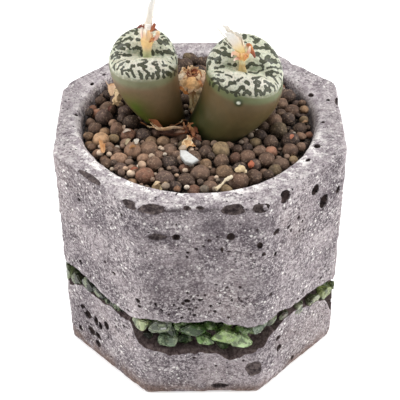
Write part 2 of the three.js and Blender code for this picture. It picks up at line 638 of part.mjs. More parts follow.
function bedBody() {
  const rings = insideProfile(CLEARANCE).slice(1, -1).map(([radius, z]) => bedRing(radius, () => z));
  rings.push(bedRing(SOIL_LINE_RADIUS - CLEARANCE, bedHeight));
  const random = randomStream(GRAIN_SEED + 1);
  let bed = solid(loft(rings));
  for (const grain of GRAINS) {
    const ball = grain.radius > ROUND_GRAIN
      ? new THREE.IcosahedronGeometry(grain.radius, 0)
      : new THREE.OctahedronGeometry(grain.radius * 1.12, 0);
    ball.rotateX(Math.PI * random()).rotateZ(Math.PI * random());
    bed = bed.add(solid(ball.translate(grain.x, grain.y, grain.z)));
  }
  const holes = [headHole(HEADS.left), headHole(HEADS.right), capsuleHole(), sheathStrip(0.3)];
  return largest(bed.subtract(united(holes)));
}

function bedRing(radius, heightAt) {
  return Array.from({ length: ROUND_STEPS }, (_, step) => {
    const angle = (2 * Math.PI * step) / ROUND_STEPS;
    const x = MOUTH_X + radius * Math.cos(angle);
    const y = radius * Math.sin(angle);
    return vector(x, y, heightAt(x, y));
  });
}

// Loose scraps that lie on the grains
function lowestClear(geometry) {
  const place = geometry.attributes.position;
  let lift = -Infinity;
  for (const grain of GRAINS) {
    for (let corner = 0; corner < place.count; corner += 1) {
      const flat = Math.hypot(place.getX(corner) - grain.x, place.getY(corner) - grain.y);
      if (flat >= grain.radius) continue;
      const top = grain.z + Math.sqrt(grain.radius ** 2 - flat ** 2);
      lift = Math.max(lift, top - place.getZ(corner));
    }
  }
  return lift;
}

function laidOnGrains(geometry) {
  return geometry.translate(0, 0, lowestClear(geometry) + 0.3);
}

function flake(spec) {
  const random = randomStream(spec.seed);
  const points = [];
  const corners = 7;
  for (let corner = 0; corner < corners; corner += 1) {
    const angle = (2 * Math.PI * (corner + 0.5 * random())) / corners;
    const reach = mix(0.75, 1, random());
    const x = (spec.length / 2) * reach * Math.cos(angle);
    const y = (spec.width / 2) * reach * Math.sin(angle);
    points.push(vector(x * 0.9, y * 0.9, 0), vector(x, y, spec.thickness * mix(0.5, 1, random())));
  }
  const piece = new ConvexGeometry(points);
  return piece.rotateZ(degrees(spec.turn)).translate(spec.x, spec.y, 0);
}

const SCRAPS = {
  white_chip: { x: -2.6, y: -17.5, length: 4.8, width: 2.8, thickness: 0.9, turn: -38, seed: 3, colour: 0xf2eee8 },
  pale_flake: { x: -3.2, y: -10.9, length: 3.6, width: 2.0, thickness: 0.8, turn: 20, seed: 7, colour: 0xd9c98f },
  root_flake: { x: 5.2, y: -25.6, length: 5.4, width: 1.8, thickness: 1.0, turn: 50, seed: 13, colour: 0xe0cfae },
  pale_crumb: { x: 9.5, y: -22.0, length: 3.0, width: 2.2, thickness: 1.4, turn: 12, seed: 17, colour: 0xcbb695 },
  orange_crumb: { x: 11.9, y: -17.8, length: 2.2, width: 1.8, thickness: 1.4, turn: 60, seed: 43, colour: 0xc77f45 },
  husk_back: { x: -22.7, y: 11.9, length: 4.4, width: 2.2, thickness: 1.1, turn: 88, seed: 29, colour: 0xc9a171 },
  husk_middle: { x: -20.6, y: 7.0, length: 4.6, width: 2.0, thickness: 1.0, turn: 88, seed: 31, colour: 0xd0ab7c },
  husk_front: { x: -23.2, y: -11.6, length: 4.2, width: 1.8, thickness: 1.0, turn: 94, seed: 37, colour: 0xb98a5a },
};

// Glass chips: node name, facet, how far along it the run starts and ends.
const GLASS_RUNS = [
  ["glass_front", 0, -12.6, 12.9],
  ["glass_front_right", 1, -12.9, 12.9],
  ["glass_right", 2, -12.9, 12.9],
  ["glass_back_right", 3, -12.9, 12.9],
  ["glass_back", 4, -12.9, 12.9],
  ["glass_back_left", 5, -12.9, 12.9],
  ["glass_left", 6, -12.9, 12.9],
  ["glass_front_left", 7, -12.9, 0.6],
  ["glass_front_left_end", 7, 6.2, 12.8],
];
const GLASS_SEED = 41;
const CHIP_SPACING = 3.65;
const CHIP_CORNERS = 9;
const CHIP_SIZE = [5.8, 7.6];
const WEDGE_REACH = 1.1;
const WEDGE_GAP = 0.18;
const GLASS_INSET = 0.35;
const GLASS_OUTER = 0.996;

function chip(facet, along, random) {
  const place = roundPlace(facet, along);
  const low = edgeHeight(BAND_BOTTOM, place);
  const high = edgeHeight(BAND_TOP, place);
  const size = mix(CHIP_SIZE[0], CHIP_SIZE[1], random());
  const points = [];
  for (let corner = 0; corner < CHIP_CORNERS; corner += 1) {
    const rise = (2 * corner + 1) / CHIP_CORNERS - 1 + 0.16 * (random() - 0.5);
    const turn = 2.4 * corner + 0.9 * random();
    const reach = (size / 2) * Math.sqrt(1 - rise * rise);
    points.push(vector(
      reach * Math.cos(turn) * mix(0.9, 1.15, random()),
      reach * Math.sin(turn) * mix(0.6, 0.85, random()),
      (size / 2) * rise * mix(0.8, 1, random()),
    ));
  }
  const normal = FRONT_ANGLE + facet * FACET_ANGLE;
  const inward = 1 - mix(1.9, 2.6, random()) / APOTHEM;
  const centre = facetPoint(facet, along, inward, mix(low, high, mix(0.42, 0.66, random())));
  const piece = new ConvexGeometry(points).rotateY(1.2 * (random() - 0.5));
  return piece.rotateZ(normal + Math.PI / 2).translate(centre.x, centre.y, centre.z);
}

// The wedge of the pot behind a facet, short of the wedges beside it by a small gap.
function wedge(facet) {
  const edge = HALF_FACET - WEDGE_GAP;
  const points = [0, POT_HEIGHT].flatMap((z) => [
    facetPoint(facet, 0, (WEDGE_REACH * WEDGE_GAP) / HALF_FACET, z),
    facetPoint(facet, -edge, WEDGE_REACH, z),
    facetPoint(facet, edge, WEDGE_REACH, z),
  ]);
  return solid(new ConvexGeometry(points));
}

function glassBody(facet, start, end, random, space) {
  const chips = [];
  for (let along = start; along <= end; along += CHIP_SPACING) {
    chips.push(chip(facet, along + 0.6 * (random() - 0.5), random));
  }
  return largest(united(chips).intersect(space).intersect(wedge(facet)));
}

function material(colour, roughness, metalness = 0, extra = {}) {
  return new THREE.MeshStandardMaterial({ color: colour, roughness, metalness, ...extra });
}

function named(name, geometry, look) {
  const mesh = new THREE.Mesh(geometry, look);
  mesh.name = name;
  return mesh;
}

const group = new THREE.Group();

group.add(named("pot", surface(potBody()), material(0x96908f, 0.92)));
group.add(named("soil", surface(bedBody()), material(0x6a5b50, 0.9)));

for (const [side, head] of Object.entries(HEADS)) {
  const foot = fissureFoot(head);
  const limbs = side === "left" ? LEFT_FLOWER : RIGHT_FLOWER;
  group.add(named(`head_${side}`, surface(headBody(head, flowerHole(foot))), material(0x9fae86, 0.5)));
  group.add(named(`flower_${side}`, surface(flowerBody(foot, limbs)), material(0xe2b88a, 0.7)));
}

group.add(named("seed_capsule", surface(capsuleBody()), material(0xc9925c, 0.8)));
group.add(named("sheath", surface(solid(sheathStrip(0))), material(0xa9713f, 0.8)));

for (const [name, spec] of Object.entries(SCRAPS)) {
  group.add(named(name, laidOnGrains(flake(spec)), material(spec.colour, 0.8)));
}

const glassSpace = solid(bandSpace(GLASS_INSET, GLASS_OUTER));
const glassRandom = randomStream(GLASS_SEED);
for (const [name, facet, start, end] of GLASS_RUNS) {
  const body = glassBody(facet, start, end, glassRandom, glassSpace);
  group.add(named(name, surface(body), material(0x86a36a, 0.15, 0, { transparent: true, opacity: 0.8 })));
}

export default group;
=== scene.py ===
import math

import bmesh
import bpy
import numpy as np
from mathutils import Matrix, Vector
from mathutils.bvhtree import BVHTree


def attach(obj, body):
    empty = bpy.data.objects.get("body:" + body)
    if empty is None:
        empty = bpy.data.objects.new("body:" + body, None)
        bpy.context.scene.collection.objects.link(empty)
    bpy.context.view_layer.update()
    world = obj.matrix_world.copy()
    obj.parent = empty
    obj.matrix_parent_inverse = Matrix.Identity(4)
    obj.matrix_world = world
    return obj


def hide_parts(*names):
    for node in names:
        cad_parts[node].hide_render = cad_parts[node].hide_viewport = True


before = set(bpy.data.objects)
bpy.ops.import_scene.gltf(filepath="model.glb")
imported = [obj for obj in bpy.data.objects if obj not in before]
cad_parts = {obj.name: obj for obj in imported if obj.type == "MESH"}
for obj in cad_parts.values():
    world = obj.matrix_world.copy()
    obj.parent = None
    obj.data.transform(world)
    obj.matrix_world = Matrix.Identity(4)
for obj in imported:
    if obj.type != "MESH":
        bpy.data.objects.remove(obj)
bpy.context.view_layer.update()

# The shapes below are worked out in millimetres and turned to metres when a mesh is made.
MM = 0.001

# Camera, with the picture's side in pixels
PICTURE = 400
CAMERA_TURN = math.radians(-0.18)
CAMERA_RISE = math.radians(39.66)
CAMERA_ROLL = math.radians(-0.41)
CAMERA_DISTANCE = 284.93
CAMERA_TARGET = np.array([-0.076, 0.0, 35.57])
FOCAL_PIXELS = 1089.3
SENSOR_MM = 36.0

# Pot
ACROSS_FLATS = 70.0
APOTHEM = ACROSS_FLATS / 2
POT_HEIGHT = 62.4
FACETS = 8
FACET_ANGLE = 2 * math.pi / FACETS
FRONT_ANGLE = -math.pi / 2
HALF_FACET = APOTHEM * math.tan(FACET_ANGLE / 2)
CORNER_REACH = APOTHEM / math.cos(FACET_ANGLE / 2)
CORNER_RADIUS = 2.0
BASE_BEVEL = 0.7
RIM_BEVEL = 0.6
FLOOR_THICKNESS = 9.0
FLOOR_RADIUS = 23.5
WALL_FOOT_RADIUS = 24.5
SOIL_LINE = 57.5
SOIL_LINE_RADIUS = 28.3
LIP_PROFILE = [(28.6, 60.2), (28.9, 61.4), (29.6, 62.1), (30.3, 62.42)]
MOUTH_X = -0.5
DRAIN_RADIUS = 4.5
CLEARANCE = 0.35

# Band of glass chips. Its edges on each facet: distance along it from its middle, and height
BAND_DEPTH = 5.0
BAND_DEPTH_SPREAD = 0.7
BAND_ROOF_FALL = 0.8
BAND_FLOOR_RISE = 0.5
BAND_STATION = 3.0
BAND_SEED = 11
BAND_TOP = {
    0: [
        (-12.8, 27.2), (-10.1, 26.6), (-6.7, 25.9), (-1.4, 26.2), (1.0, 26.6), (4.4, 25.7), (7.9, 24.9),
        (11.4, 24.3), (13.2, 24.4),
    ],
    1: [(-12.7, 24.2), (-10.5, 24.1), (-7.6, 24.4), (-3.7, 23.0), (4.0, 22.8), (11.2, 22.0), (13.9, 20.5)],
    2: [(-8.0, 21.6), (-1.0, 23.4), (7.5, 22.2)],
    3: [(-11.0, 24.0), (-3.0, 23.1), (6.0, 24.8)],
    4: [(-12.0, 24.2), (-4.5, 26.0), (3.0, 25.1), (10.5, 26.7)],
    5: [(-7.0, 25.6), (1.5, 27.2), (9.5, 26.0)],
    6: [(-10.0, 26.9), (-2.0, 25.8), (7.0, 26.8)],
    7: [
        (-14.5, 28.2), (-10.2, 28.1), (-4.5, 27.3), (0.3, 25.9), (5.9, 25.2), (9.7, 25.2), (11.5, 26.0),
        (14.0, 27.1),
    ],
}
BAND_BOTTOM = {
    0: [
        (-13.6, 16.8), (-10.7, 15.5), (-8.1, 14.4), (-0.5, 15.1), (4.5, 14.3), (7.0, 12.1), (9.0, 13.5),
        (13.2, 14.6),
    ],
    1: [
        (-11.0, 17.6), (-7.3, 19.6), (-3.6, 20.4), (0.4, 19.7), (3.6, 18.0), (7.7, 17.3), (10.7, 15.5),
        (14.4, 8.6),
    ],
    2: [(-11.5, 12.6), (-6.0, 15.9), (2.0, 16.8), (9.0, 14.9)],
    3: [(-9.0, 17.5), (0.0, 15.6), (8.5, 17.9)],
    4: [(-8.0, 16.8), (1.0, 18.4), (9.0, 16.2)],
    5: [(-9.5, 18.9), (-1.0, 17.0), (8.0, 19.6)],
    6: [(-11.0, 18.2), (-3.5, 20.1), (5.5, 18.7)],
    7: [
        (-14.5, 20.1), (-12.2, 20.8), (-8.8, 22.8), (-3.0, 22.9), (0.3, 22.6), (1.9, 23.6), (5.7, 22.7),
        (9.6, 22.8), (10.5, 22.2), (11.4, 19.2), (12.9, 17.0),
    ],
}
ROUND_LENGTH = FACETS * 2 * HALF_FACET

# Pits that the picture shows: pixel of the middle, width and height in pixels
SEEN_PITS = [
    (286.4, 197.1, 9, 12), (316, 190.4, 7.5, 11), (324.6, 201.4, 8.5, 14), (338.6, 190, 4.5, 7),
    (298.9, 217.6, 3, 4), (289.1, 227.4, 3, 4), (277.1, 232.1, 6, 6), (303, 221.4, 2, 3),
    (299.7, 231.1, 2, 3), (260, 246.1, 5, 5.5), (264.6, 256, 5, 5), (276, 254.3, 3, 4), (251, 255, 2.4, 2),
    (257.4, 230.4, 3, 2), (231, 237.3, 7.5, 6.5), (176.1, 237.9, 7.5, 5.5), (209.3, 241.1, 3.5, 2.6),
    (222, 250.3, 2.6, 5), (229.3, 252.1, 4, 1.6), (196.4, 249.6, 3, 2.6), (203.3, 246.7, 3, 1.6),
    (187.9, 253.1, 3.4, 2), (217.6, 237.3, 2.6, 1.4), (176.4, 225.3, 2, 2), (136.9, 260, 2, 1.8),
    (120.7, 215, 2.4, 3.6), (187.5, 293.5, 2.6, 2.2), (187, 301.5, 6.5, 3.4), (200.5, 300.5, 5, 2),
    (211, 306.5, 3, 2.6), (194.5, 315.5, 3, 3), (209, 312.8, 2.2, 2), (228.5, 318, 3, 2.4),
    (198, 296.5, 2.6, 2), (191, 297, 2.2, 2), (227, 288, 3, 2), (271.5, 294.5, 3.4, 4),
    (303.5, 291.5, 2, 3), (298, 299, 2, 3), (321.5, 278, 2, 3), (278.5, 338.5, 4.4, 6),
    (279.5, 348, 5.2, 7.5), (292.8, 358, 3.2, 5), (295.5, 332, 2, 3), (243.5, 361, 2.4, 2),
    (216, 366.5, 2.8, 2.2), (194, 358, 3, 2.2), (201.5, 369.5, 2.4, 1.8), (261, 357, 3, 3.5),
    (87, 314, 9, 11.5), (83, 308, 6.5, 7.5), (96, 321, 5, 11), (100, 326, 4.6, 9), (106, 326, 5, 10),
    (91.5, 331, 7.6, 10), (98, 336, 5.6, 8), (98, 344, 5.4, 7.5), (80.5, 328, 4, 6.5),
    (123.5, 326.5, 2.6, 3.4), (115.5, 327, 2, 3), (183, 304, 3.5, 3), (196, 308, 3, 2.4),
    (215, 312, 3.4, 2.6), (205, 296, 2.6, 2.2), (189.5, 309.5, 3, 2.6), (179, 309, 2.4, 2.2),
    (174, 305, 2.4, 2.0), (220, 304, 2.4, 2.2), (137, 301, 3.6, 5), (138.5, 307, 3.6, 3.6),
    (141.2, 306, 2.2, 3), (136, 312.5, 3, 2), (127.5, 310.5, 2.6, 3), (155.5, 304.5, 2.2, 3),
    (140, 291, 2.2, 2.4), (113.5, 273.8, 3, 3.4), (80, 262, 2.8, 4.4), (90, 276.5, 2, 3),
    (104.5, 262, 2, 3), (169, 315, 2.6, 2.4), (182, 318, 3, 2.4), (178, 300, 2, 2), (79, 200, 2.6, 4),
]
# Larger hollows: facet, along, height, width, tallness, depth of the middle
SEEN_HOLLOWS = [
    (7, -1.5, 62.3, 7.2, 1.9, 1.0), (7, 12.2, 61.9, 3.9, 2.1, 1.2), (0, -10.7, 61.9, 6.0, 2.7, 1.4),
    (0, 7.3, 61.5, 5.2, 2.5, 1.4), (0, 13.3, 61.6, 3.2, 2.0, 1.3), (0, -3.1, 62.0, 1.5, 1.0, 0.7),
    (0, -0.2, 62.0, 1.8, 0.9, 0.6), (0, 13.4, 8.9, 4.6, 5.2, 1.0), (0, 4.3, 2.8, 4.2, 1.5, 0.9),
    (1, -14.0, 61.9, 1.6, 1.6, 0.9), (2, 6.0, 61.8, 3.6, 2.0, 1.1), (4, -7.0, 61.9, 4.4, 2.0, 1.1),
    (5, 9.0, 9.0, 3.4, 2.6, 0.9), (3, 3.0, 5.0, 3.6, 1.8, 0.8), (6, -4.0, 8.0, 3.2, 2.4, 0.9),
    (0, -9.9, 53.8, 4.2, 1.7, 0.45),
]
# Stains on the face: facet, along, height, width, tallness, strength
SEEN_STAINS = [
    (0, -9.9, 53.7, 4.6, 2.2, 0.85), (0, 2.7, 57.4, 5.6, 2.6, 0.4), (0, 14.0, 33.5, 2.4, 2.4, 0.5),
    (0, 15.2, 58.0, 2.4, 3.0, 0.3), (7, 3.0, 61.0, 5.0, 2.0, 0.3), (3, 5.0, 50.0, 4.0, 2.4, 0.5),
    (5, -6.0, 42.0, 4.6, 2.6, 0.5), (7, -9.0, 12.0, 10.0, 11.0, 0.45), (7, 1.0, 13.0, 6.0, 5.0, 0.3),
    (4, 4.0, 30.0, 5.0, 2.5, 0.4), (0, 4.0, 55.5, 9.0, 7.0, 0.45), (0, -6.0, 54.0, 7.0, 4.0, 0.3),
    (0, -3.5, 45.5, 7.0, 12.0, 0.4), (0, 9.5, 38.5, 5.0, 8.0, 0.3), (0, -9.5, 36.5, 5.0, 6.0, 0.3),
    (0, 4.5, 47.5, 3.0, 8.0, 0.3), (6, 4.0, 44.0, 8.0, 8.0, 0.25), (2, -5.0, 40.0, 9.0, 8.0, 0.25),
]
# Pits in the rim's top and in the wall inside it: pixel of the middle, width and height in pixels
SEEN_RIM_PITS = [
    (104, 75, 3.6, 4), (92, 84, 4.6, 4), (76, 115, 3.4, 3), (328, 100, 3.4, 3.6), (293, 79, 5, 5),
    (303, 87, 4.6, 5.4), (311, 95, 6, 4.6), (317, 146, 6.5, 6), (308, 160, 5, 3), (131, 174, 3, 2),
    (90, 157, 3, 2.4), (323, 122, 3, 3),
]
# Pits in the rim at the back: angle in degrees, distance from the axis, width and height
BACK_RIM_PITS = [(44, 35.4, 4.4, 3.0), (75, 35.6, 2.4, 1.6), (128, 34.4, 2.2, 1.8)]
# Painted shade: how much darker the front face is than the others
FRONT_SHADE = 0.19
# Stray pits on the facets that the picture doesn't show
STRAY_PITS = 18
STRAY_PIT_SEED = 5
STRAY_PIT_SKIP = 70
PIT_DEPTH_SHARE = 0.42
# The corner at the back whose top is worn away
BACK_CORNER_ANGLE = 157.5

# Bed of grains
BED_EDGE = 58.9
BED_CROWN = 0.7
BED_FALL_RIGHT = 0.008
BED_RISE_BACK = 0.02
GRAIN_SEED = 23
GRAIN_SIZES = [(1.9, 2.5, 260), (1.35, 1.85, 2600), (1.1, 1.3, 700)]
GRAIN_CLOSENESS = 0.82
GRAIN_RISE = 0.3
GRAIN_LIFT = 0.8
GRAIN_WALL_GAP = 0.25

# Heads
HEAD_BASE_Z = 59.5
FISSURE_DEPTH = 2.6
FISSURE_WIDTH = 1.5
HEADS = {
    "left": dict(
        base=(-8.5, 3.2), top=(-13.4, 2.4), rim_z=78.2, base_radius=5.0, rim_radius=8.3, swell=1.9,
        depth_share=0.95, pitch=15, roll=0, dome=4.7, back_lift=0.35, droop=1.4,
        fissure=(1.1, -1.7), stump=[(51.5, 2.4), (55.5, 3.9)],
    ),
    "right": dict(
        base=(4.9, 0.3), top=(11.1, -0.9), rim_z=77.0, base_radius=8.0, rim_radius=9.45, swell=3.2,
        depth_share=0.97, pitch=15, roll=14, dome=4.9, back_lift=0.38, droop=1.4,
        fissure=(-1.4, -3.0), stump=[(51.5, 3.0), (55.5, 5.8)],
    ),
}


# Numbers
def stream(seed):
    """Numbers from 0 to 1 that are the same on each run."""
    state = seed

    def draw():
        nonlocal state
        state = (state * 1664525 + 1013904223) % 2**32
        return state / 2**32

    return draw


def skip(draw, count):
    """Leaves out numbers of a stream."""
    for _ in range(count):
        draw()


def mix(low, high, share):
    return low + (high - low) * share


def step_between(low, high, values):
    """0 below low, 1 above high, and a smooth rise between."""
    share = np.clip((values - low) / (high - low), 0, 1)
    return share * share * (3 - 2 * share)


def scattered(cells, seed):
    """A number from 0 to 1 for each lattice cell."""
    key = cells @ np.array([127.1, 311.7, 74.7]) + 17.31 * seed
    value = np.sin(key) * 43758.5453
    return value - np.floor(value)


def noise(points, size, seed=0):
    """Smooth noise from -1 to 1 with features about size across."""
    place = np.asarray(points) / size
    base = np.floor(place)
    part = place - base
    fade = part * part * (3 - 2 * part)
    total = np.zeros(len(place))
    for corner in np.ndindex(2, 2, 2):
        weight = np.prod(np.where(np.array(corner) == 1, fade, 1 - fade), axis=1)
        total += weight * scattered(base + corner, seed)
    return 2 * total - 1


def linear(red, green, blue):
    """A colour given as it looks on a screen, from 0 to 255, as the shaders want it."""
    values = np.array([red, green, blue]) / 255
    return np.where(values <= 0.04045, values / 12.92, ((values + 0.055) / 1.055) ** 2.4)


def bell(values, middle, reach, power=2):
    """1 at the middle and less the further a value lies from it."""
    return np.exp(-(((values - middle) / reach) ** power))


# Meshes
def new_piece(name, vertices, faces, material=None):
    """A mesh object from millimetres."""
    mesh = bpy.data.meshes.new(name)
    mesh.from_pydata((np.asarray(vertices) * MM).tolist(), [], faces)
    mesh.update()
    piece = bpy.data.objects.new(name, mesh)
    bpy.context.scene.collection.objects.link(piece)
    if material:
        mesh.materials.append(material)
    return piece


def vectors(items, name):
    """One vector of each vertex or face of a mesh."""
    flat = np.empty(len(items) * 3)
    items.foreach_get(name, flat)
    return flat.reshape(-1, 3)


def places_of(piece):
    """A piece's vertices in millimetres."""
    return vectors(piece.data.vertices, "co") / MM


def normals_of(piece):
    return vectors(piece.data.vertices, "normal")


def put_places(piece, places):
    piece.data.vertices.foreach_set("co", (places * MM).ravel())
    piece.data.update()


def put(piece, name, values, domain="POINT"):
    """A number or a colour on each vertex or face, which the material reads by name."""
    values = np.asarray(values, float)
    if values.ndim == 1:
        piece.data.attributes.new(name, "FLOAT", domain).data.foreach_set("value", values)
    else:
        full = np.column_stack([values, np.ones(len(values))])
        piece.data.attributes.new(name, "FLOAT_COLOR", domain).data.foreach_set("color", full.ravel())


def hand_over(piece, node=None, sharp_degrees=None):
    """Smooths a piece, lets it ride on the root body and hides the frame's part that it stands for."""
    piece.data.shade_smooth()
    if sharp_degrees:
        piece.data.set_sharp_from_angle(angle=math.radians(sharp_degrees))
    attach(piece, "root")
    if node:
        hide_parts(node)


def circle(radius, z, sides):
    """A ring of points round the upright axis."""
    angles = 2 * np.pi * np.arange(sides) / sides
    return np.stack([radius * np.cos(angles), radius * np.sin(angles), np.full(sides, z)], 1)


def ring_faces(rings, sides):
    """Faces between rings of equal length, counter-clockwise seen from the last ring, and of both ends."""
    faces = []
    for level in range(rings - 1):
        for side in range(sides):
            here = level * sides + side
            beside = level * sides + (side + 1) % sides
            faces.append((here, beside, beside + sides, here + sides))
    faces.append(tuple(reversed(range(sides))))
    faces.append(tuple(range((rings - 1) * sides, rings * sides)))
    return faces


def ring_solid(rings):
    """The vertices and faces of a closed solid made of rings."""
    return np.concatenate(rings), ring_faces(len(rings), len(rings[0]))


def joined(parts):
    """One list of vertices and faces from several."""
    vertices, faces, start = [], [], 0
    for part_vertices, part_faces in parts:
        vertices.append(np.asarray(part_vertices, float))
        faces.extend(tuple(start + corner for corner in face) for face in part_faces)
        start += len(part_vertices)
    return np.concatenate(vertices), faces


def taken_out(shape):
    """A bmesh's vertices and faces."""
    vertices = np.array([vertex.co[:] for vertex in shape.verts])
    faces = [tuple(vertex.index for vertex in face.verts) for face in shape.faces]
    shape.free()
    return vertices, faces


def ball(level):
    """A unit ball's vertices and faces."""
    shape = bmesh.new()
    bmesh.ops.create_icosphere(shape, subdivisions=level, radius=1)
    return taken_out(shape)


def curve_points(path, count):
    """Points of a smooth curve through a few given ones."""
    points = np.array(path, float)
    padded = np.vstack([2 * points[0] - points[1], points, 2 * points[-1] - points[-2]])
    spots = []
    for place in np.linspace(0, len(points) - 1, count):
        first = min(int(place), len(points) - 2)
        t = place - first
        a, b, c, d = padded[first : first + 4]
        bend = 2 * a - 5 * b + 4 * c - d
        spots.append(0.5 * (2 * b + (c - a) * t + bend * t**2 + (3 * b - a - 3 * c + d) * t**3))
    return np.array(spots)


def sampled(values, shares):
    """Values read from a list spread evenly from share 0 to share 1."""
    values = np.array(values, float)
    knots = np.linspace(0, 1, len(values))
    if values.ndim == 1:
        return np.interp(shares, knots, values)
    return np.stack([np.interp(shares, knots, column) for column in values.T], 1)


def shown(tint):
    """A colour that is given as it looks on a screen, or one that is linear already."""
    return linear(*tint) if isinstance(tint, tuple) else tint


def tints_along(tints, shares, sides):
    """The colour of each vertex of rings at shares of a path."""
    return sampled([shown(tint) for tint in tints], np.repeat(shares, sides))


def frames_along(spots, up):
    """The way across a curve and the way out of it at each point."""
    along = np.gradient(spots, axis=0)
    along /= np.linalg.norm(along, axis=1)[:, None]
    across = np.cross(up, along)
    across /= np.linalg.norm(across, axis=1)[:, None]
    return across, np.cross(along, across)


LIMB_UP = (0, 1, 0.1)
BLADE_LINES = 9


def tube(path, wide, tints, up=LIMB_UP, sides=14, steps=28, rough=0.08, ridges=0.0, seed=1):
    """A round limb along a path, with its colours."""
    spots = curve_points(path, steps)
    across, out = frames_along(spots, up)
    shares = np.linspace(0, 1, steps)
    turns = 2 * np.pi * np.arange(sides) / sides
    radius = sampled(wide, shares)[:, None] * (1 + ridges * np.cos(5 * turns + 3 * shares[:, None]))
    rings = (
        spots[:, None]
        + across[:, None] * (radius * np.cos(turns))[..., None]
        + out[:, None] * (radius * np.sin(turns))[..., None]
    )
    vertices = rings.reshape(-1, 3)
    middle = np.repeat(spots, sides, 0)
    swell = 1 + rough * noise(vertices, 0.7, seed) + rough * noise(vertices, 0.35, seed + 1)
    vertices = middle + (vertices - middle) * swell[:, None]
    return vertices, ring_faces(steps, sides), tints_along(tints, shares, sides)


def blade(path, wide, tints, up=LIMB_UP, cup=0.3, thick=0.14, steps=26, twist=0.0, ragged=0.16, seed=1):
    """A thin curved leaf along a path, with uneven edges and its colours. Its widths are half-widths."""
    spots = curve_points(path, steps)
    across, out = frames_along(spots, up)
    shares = np.linspace(0, 1, steps)
    turn = np.radians(twist) * shares
    side = across * np.cos(turn)[:, None] + out * np.sin(turn)[:, None]
    face = out * np.cos(turn)[:, None] - across * np.sin(turn)[:, None]
    width = sampled(wide, shares)
    front, back = [], []
    for line in np.linspace(-1, 1, BLADE_LINES):
        edge = width * (1 + ragged * abs(line) * noise(spots + line * 7, 0.6, seed))
        fold = cup * width * (line * line - 0.4) + 0.1 * noise(spots + line * 3, 0.8, seed + 2)
        middle = spots + side * (line * edge)[:, None] + face * fold[:, None]
        half = 0.5 * thick * (1 - 0.6 * abs(line))
        front.append(middle + face * half)
        back.insert(0, middle - face * half)
    rings = np.stack(front + back, 1)
    sides = rings.shape[1]
    return rings.reshape(-1, 3), ring_faces(steps, sides), tints_along(tints, shares, sides)


def tinted_piece(name, parts, material, node=None, sharp_degrees=50, domain="POINT"):
    """One piece made of parts that carry their colours."""
    vertices, faces = joined([part[:2] for part in parts])
    piece = new_piece(name, vertices, faces, material)
    put(piece, "tint", np.concatenate([part[2] for part in parts]), domain)
    hand_over(piece, node, sharp_degrees)


def rotation(axis, angle):
    return np.array(Matrix.Rotation(angle, 3, axis))


def cut(piece, cutters):
    """Takes the cutters' shapes out of a piece. A face that a cutter made has the cutter's slot number."""
    for number, cutter in enumerate(cutters, 1):
        for _ in range(len(cutters) + 1):
            cutter.data.materials.append(None)
        cutter.data.polygons.foreach_set("material_index", [number] * len(cutter.data.polygons))
        piece.data.materials.append(None)
    piece.data.materials.append(None)
    for cutter in cutters:
        modifier = piece.modifiers.new("cut", "BOOLEAN")
        modifier.operation = "DIFFERENCE"
        modifier.solver = "MANIFOLD"
        modifier.object = cutter
    bpy.context.view_layer.update()
    graph = bpy.context.evaluated_depsgraph_get()
    result = bpy.data.meshes.new_from_object(piece.evaluated_get(graph))
    piece.modifiers.clear()
    piece.data = result
    for cutter in cutters:
        bpy.data.objects.remove(cutter)
    made_by = np.empty(len(result.polygons), int)
    result.polygons.foreach_get("material_index", made_by)
    result.polygons.foreach_set("material_index", [0] * len(made_by))
    return made_by


